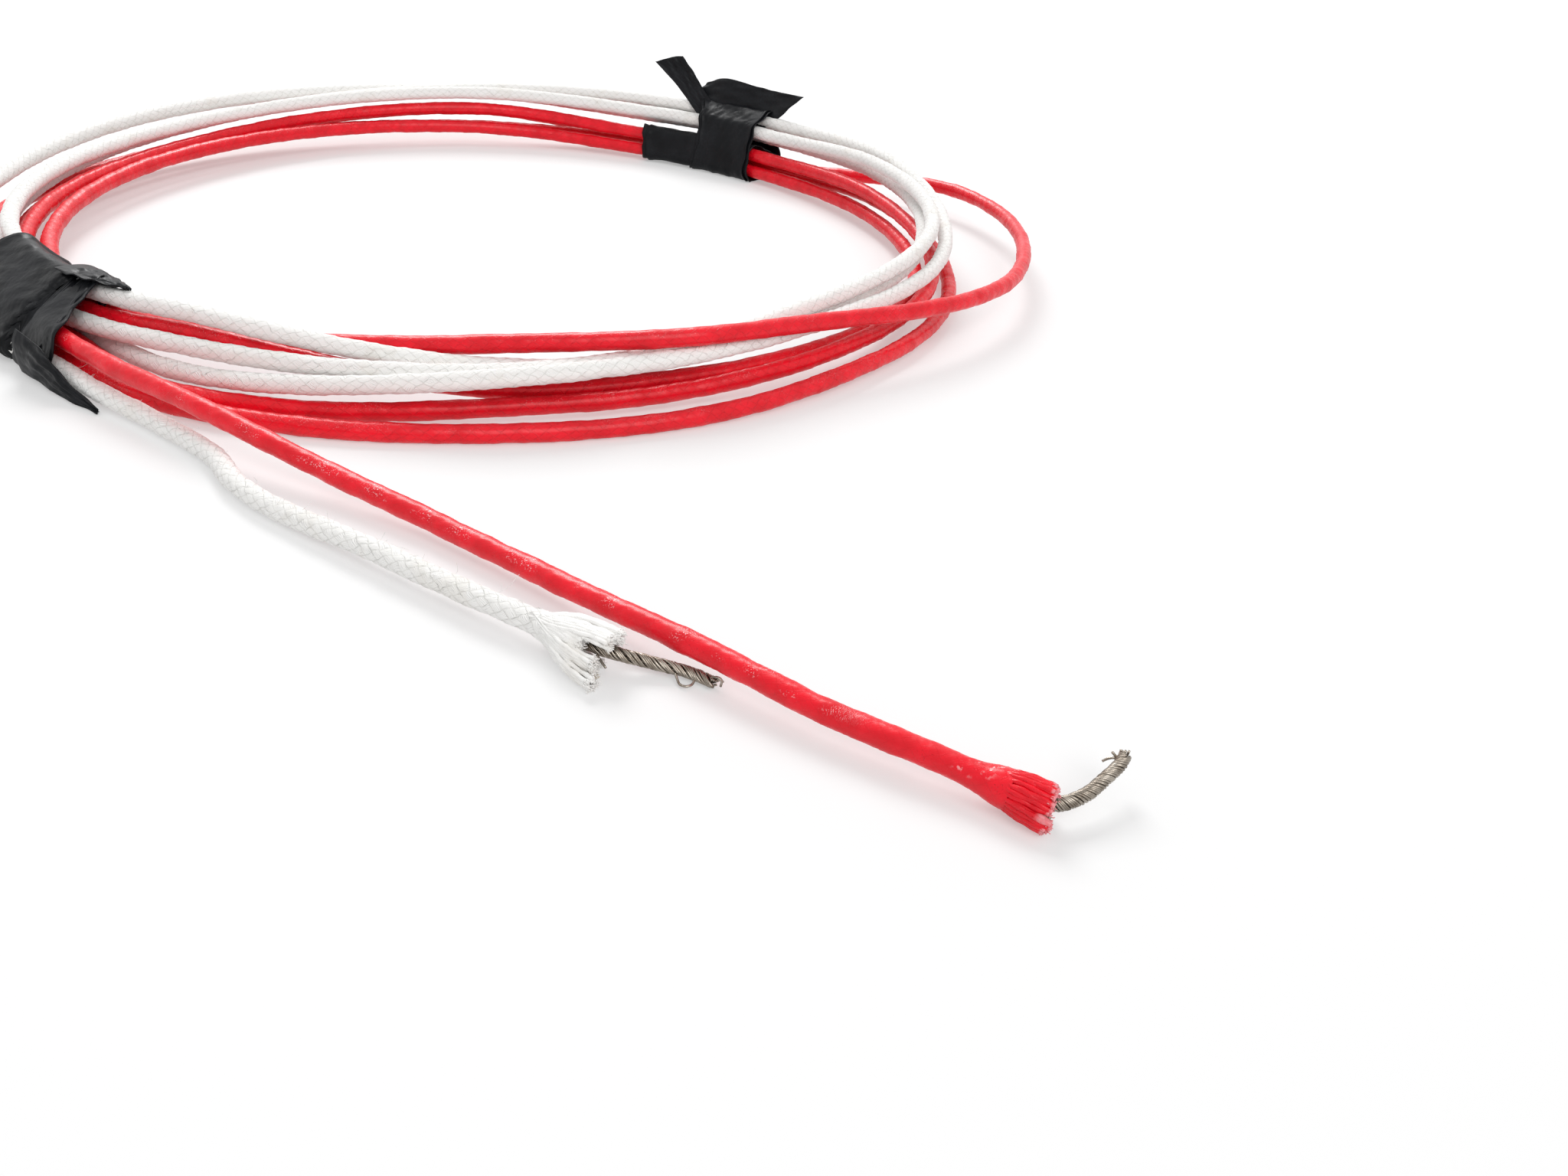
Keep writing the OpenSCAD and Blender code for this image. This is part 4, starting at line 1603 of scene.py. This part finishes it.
@dataclass(frozen=True)
class Stage:
    """Floor, light and camera."""

    lens: float = 30.0
    place: tuple = (0.0414, -0.1741, 0.0566)
    pitch: float = 31.6
    roll: float = 5.4
    floor_size: float = 4.0
    white: float = 0.5
    lift: float = 0.36  # how strongly the floor glows under the coil
    far_lift: float = 0.78  # and far away from it
    sky: float = 0.55
    near: float = 0.25  # how far from the coil's middle lift gives way
    far: float = 1.2  # and far_lift takes over, in metres
    key: tuple = ((-0.25, 0.75, 0.75), 0.5, 9.0)  # place, size and power
    fill: tuple = ((0.5, -0.8, 0.9), 0.9, 7.5)

    def camera(self) -> None:
        """Places the camera: looking along +Y, pitched down and rolled."""
        data = settled(bpy.data.cameras.new("camera"), lens=self.lens, sensor_width=36.0)
        settled(data, clip_start=0.005, clip_end=20.0)
        down, roll = math.radians(self.pitch), math.radians(self.roll)
        right = np.array([1.0, 0.0, 0.0])
        upward = np.array([0.0, math.sin(down), math.cos(down)])
        x = math.cos(roll) * right + math.sin(roll) * upward
        y = -math.sin(roll) * right + math.cos(roll) * upward
        axes = (x, y, np.cross(right, upward))
        bpy.context.scene.camera = put("camera", data, axes, self.place)

    def floor(self) -> None:
        """Lays the white floor, which the camera sees clean and which keeps the shadows."""
        half = self.floor_size / 2
        mesh = bpy.data.meshes.new("floor")
        square = [(-half, -half, 0.0), (half, -half, 0.0), (half, half, 0.0), (-half, half, 0.0)]
        mesh.from_pydata(square, [], [(0, 1, 2, 3)])
        material, nodes, surface = new_material("floor_white")
        away = nodes.feed(nodes.add("VectorMath", operation="LENGTH"), nodes.place())
        between = (self.near, self.far, self.lift, self.far_lift)
        glow = nodes.ramp(away.outputs["Value"], *between)
        nodes.feed(
            surface,
            Base_Color=(self.white, self.white, self.white, 1.0),
            Roughness=0.75,
            Specular_IOR_Level=0.2,
            Emission_Color=WHITE,
            Emission_Strength=glow,
        )
        mesh.materials.append(material)
        put("floor", mesh)

    def lamp(self, name: str, place: tuple, size: float, power: float) -> None:
        """Adds a soft square lamp that looks at the coil.

        Args:
            name: Its name.
            place: Where it is, in metres.
            size: Its side, in metres.
            power: Its power, in watts.
        """
        data = settled(bpy.data.lights.new(name, "AREA"), shape="SQUARE", size=size, energy=power)
        back = unit(np.array(place, float))
        side = unit(np.cross(UP, back))
        put(name, data, (side, np.cross(back, side), back), place)

    def sky_light(self) -> None:
        """Sets a plain white sky: white to the eye and in reflections, softer as a light."""
        world = bpy.data.worlds.new("sky")
        world.use_nodes = True
        nodes = Nodes(world.node_tree)
        rays = nodes.add("LightPath").outputs
        seen = nodes.math("MAXIMUM", rays["Is Camera Ray"], rays["Is Glossy Ray"])
        seen = nodes.math("MAXIMUM", seen, rays["Is Transmission Ray"])
        background = nodes.add("Background")
        nodes.feed(background, WHITE, nodes.ramp(seen, 0.0, 1.0, self.sky, 1.0))
        nodes.feed(nodes.add("OutputWorld"), background.outputs[0])
        bpy.context.scene.world = world

    def build(self) -> None:
        """Sets up everything round the object."""
        self.camera()
        self.floor()
        self.lamp("key", *self.key)
        self.lamp("fill", *self.fill)
        self.sky_light()
        bpy.context.scene.view_settings.view_transform = "Standard"


# ---- The whole coil ----


@dataclass
class WireCoil:
    """The two wires and the two ties."""

    weave: bpy.types.NodeTree
    grain: bpy.types.NodeTree

    def build(self) -> list[bpy.types.Object]:
        """Makes every piece.

        Returns:
            The pieces.
        """
        red = LacqueredBraid().made(self.weave, self.grain)
        white = CottonBraid().made(self.weave, self.grain)
        metal = TinnedStrand().made(self.grain)
        tape = VinylTape().made(self.grain)
        pieces = BraidedWire(
            "red", RED_ROUTE, red, metal, RED_STRIPS, RED_STRAYS, RED_STUBS,
            relief=0.035,
            swell=0.055,
            lumps=0.014,
            beading=0.035,
            opening=1.45,
            flare=3.6,
            braid_past=5.8,
            yarn_radius=0.21,
            sunk=0.3,
            bulge=0.03,
            pale_length=0.5,
            tuft=0.16,
            tuft_spread=0.22,
            tuft_hairs=6,
            hair_radius=0.038,
        ).build()
        pieces += BraidedWire(
            "white", WHITE_ROUTE, white, metal, WHITE_STRIPS, WHITE_STRAYS, WHITE_STUBS,
            relief=0.1,
            swell=0.05,
            lead_step=0.17,
            opening=1.4,
            flare=3.0,
            braid_past=2.6,
            unruly=0.07,
            depth=0.2,
            yarn_radius=0.175,
            puff=0.2,
            pale_length=1.6,
            tuft=0.28,
            tuft_spread=0.32,
            tuft_hairs=16,
            hair_radius=0.045,
            twist_pitch=3.4,
            fuzz_hairs=70,
            seed=2,
        ).build()
        routes = (RED_ROUTE, WHITE_ROUTE)
        ties = (
            TapeTie("left_tie", -7.0, routes, tape, LEFT_TURNS, LEFT_ENDS, seed=5),
            TapeTie("rear_tie", 155.2, routes, tape, REAR_TURNS, REAR_ENDS, seed=6),
        )
        return pieces + [tie.build() for tie in ties]


def corners(bounds: tuple) -> list[list[float]]:
    """Gives a box's two corners as plain lists."""
    return [[float(x) for x in corner] for corner in bounds]


def main() -> None:
    """Loads the frame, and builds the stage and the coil."""
    logging.basicConfig(level=logging.INFO, format="%(name)s: %(message)s")
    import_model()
    Stage().build()
    pieces = WireCoil(braid_weave(), fine_grain()).build()
    LOG.info("%d pieces", len(pieces))


if __name__ == "__main__":
    main()
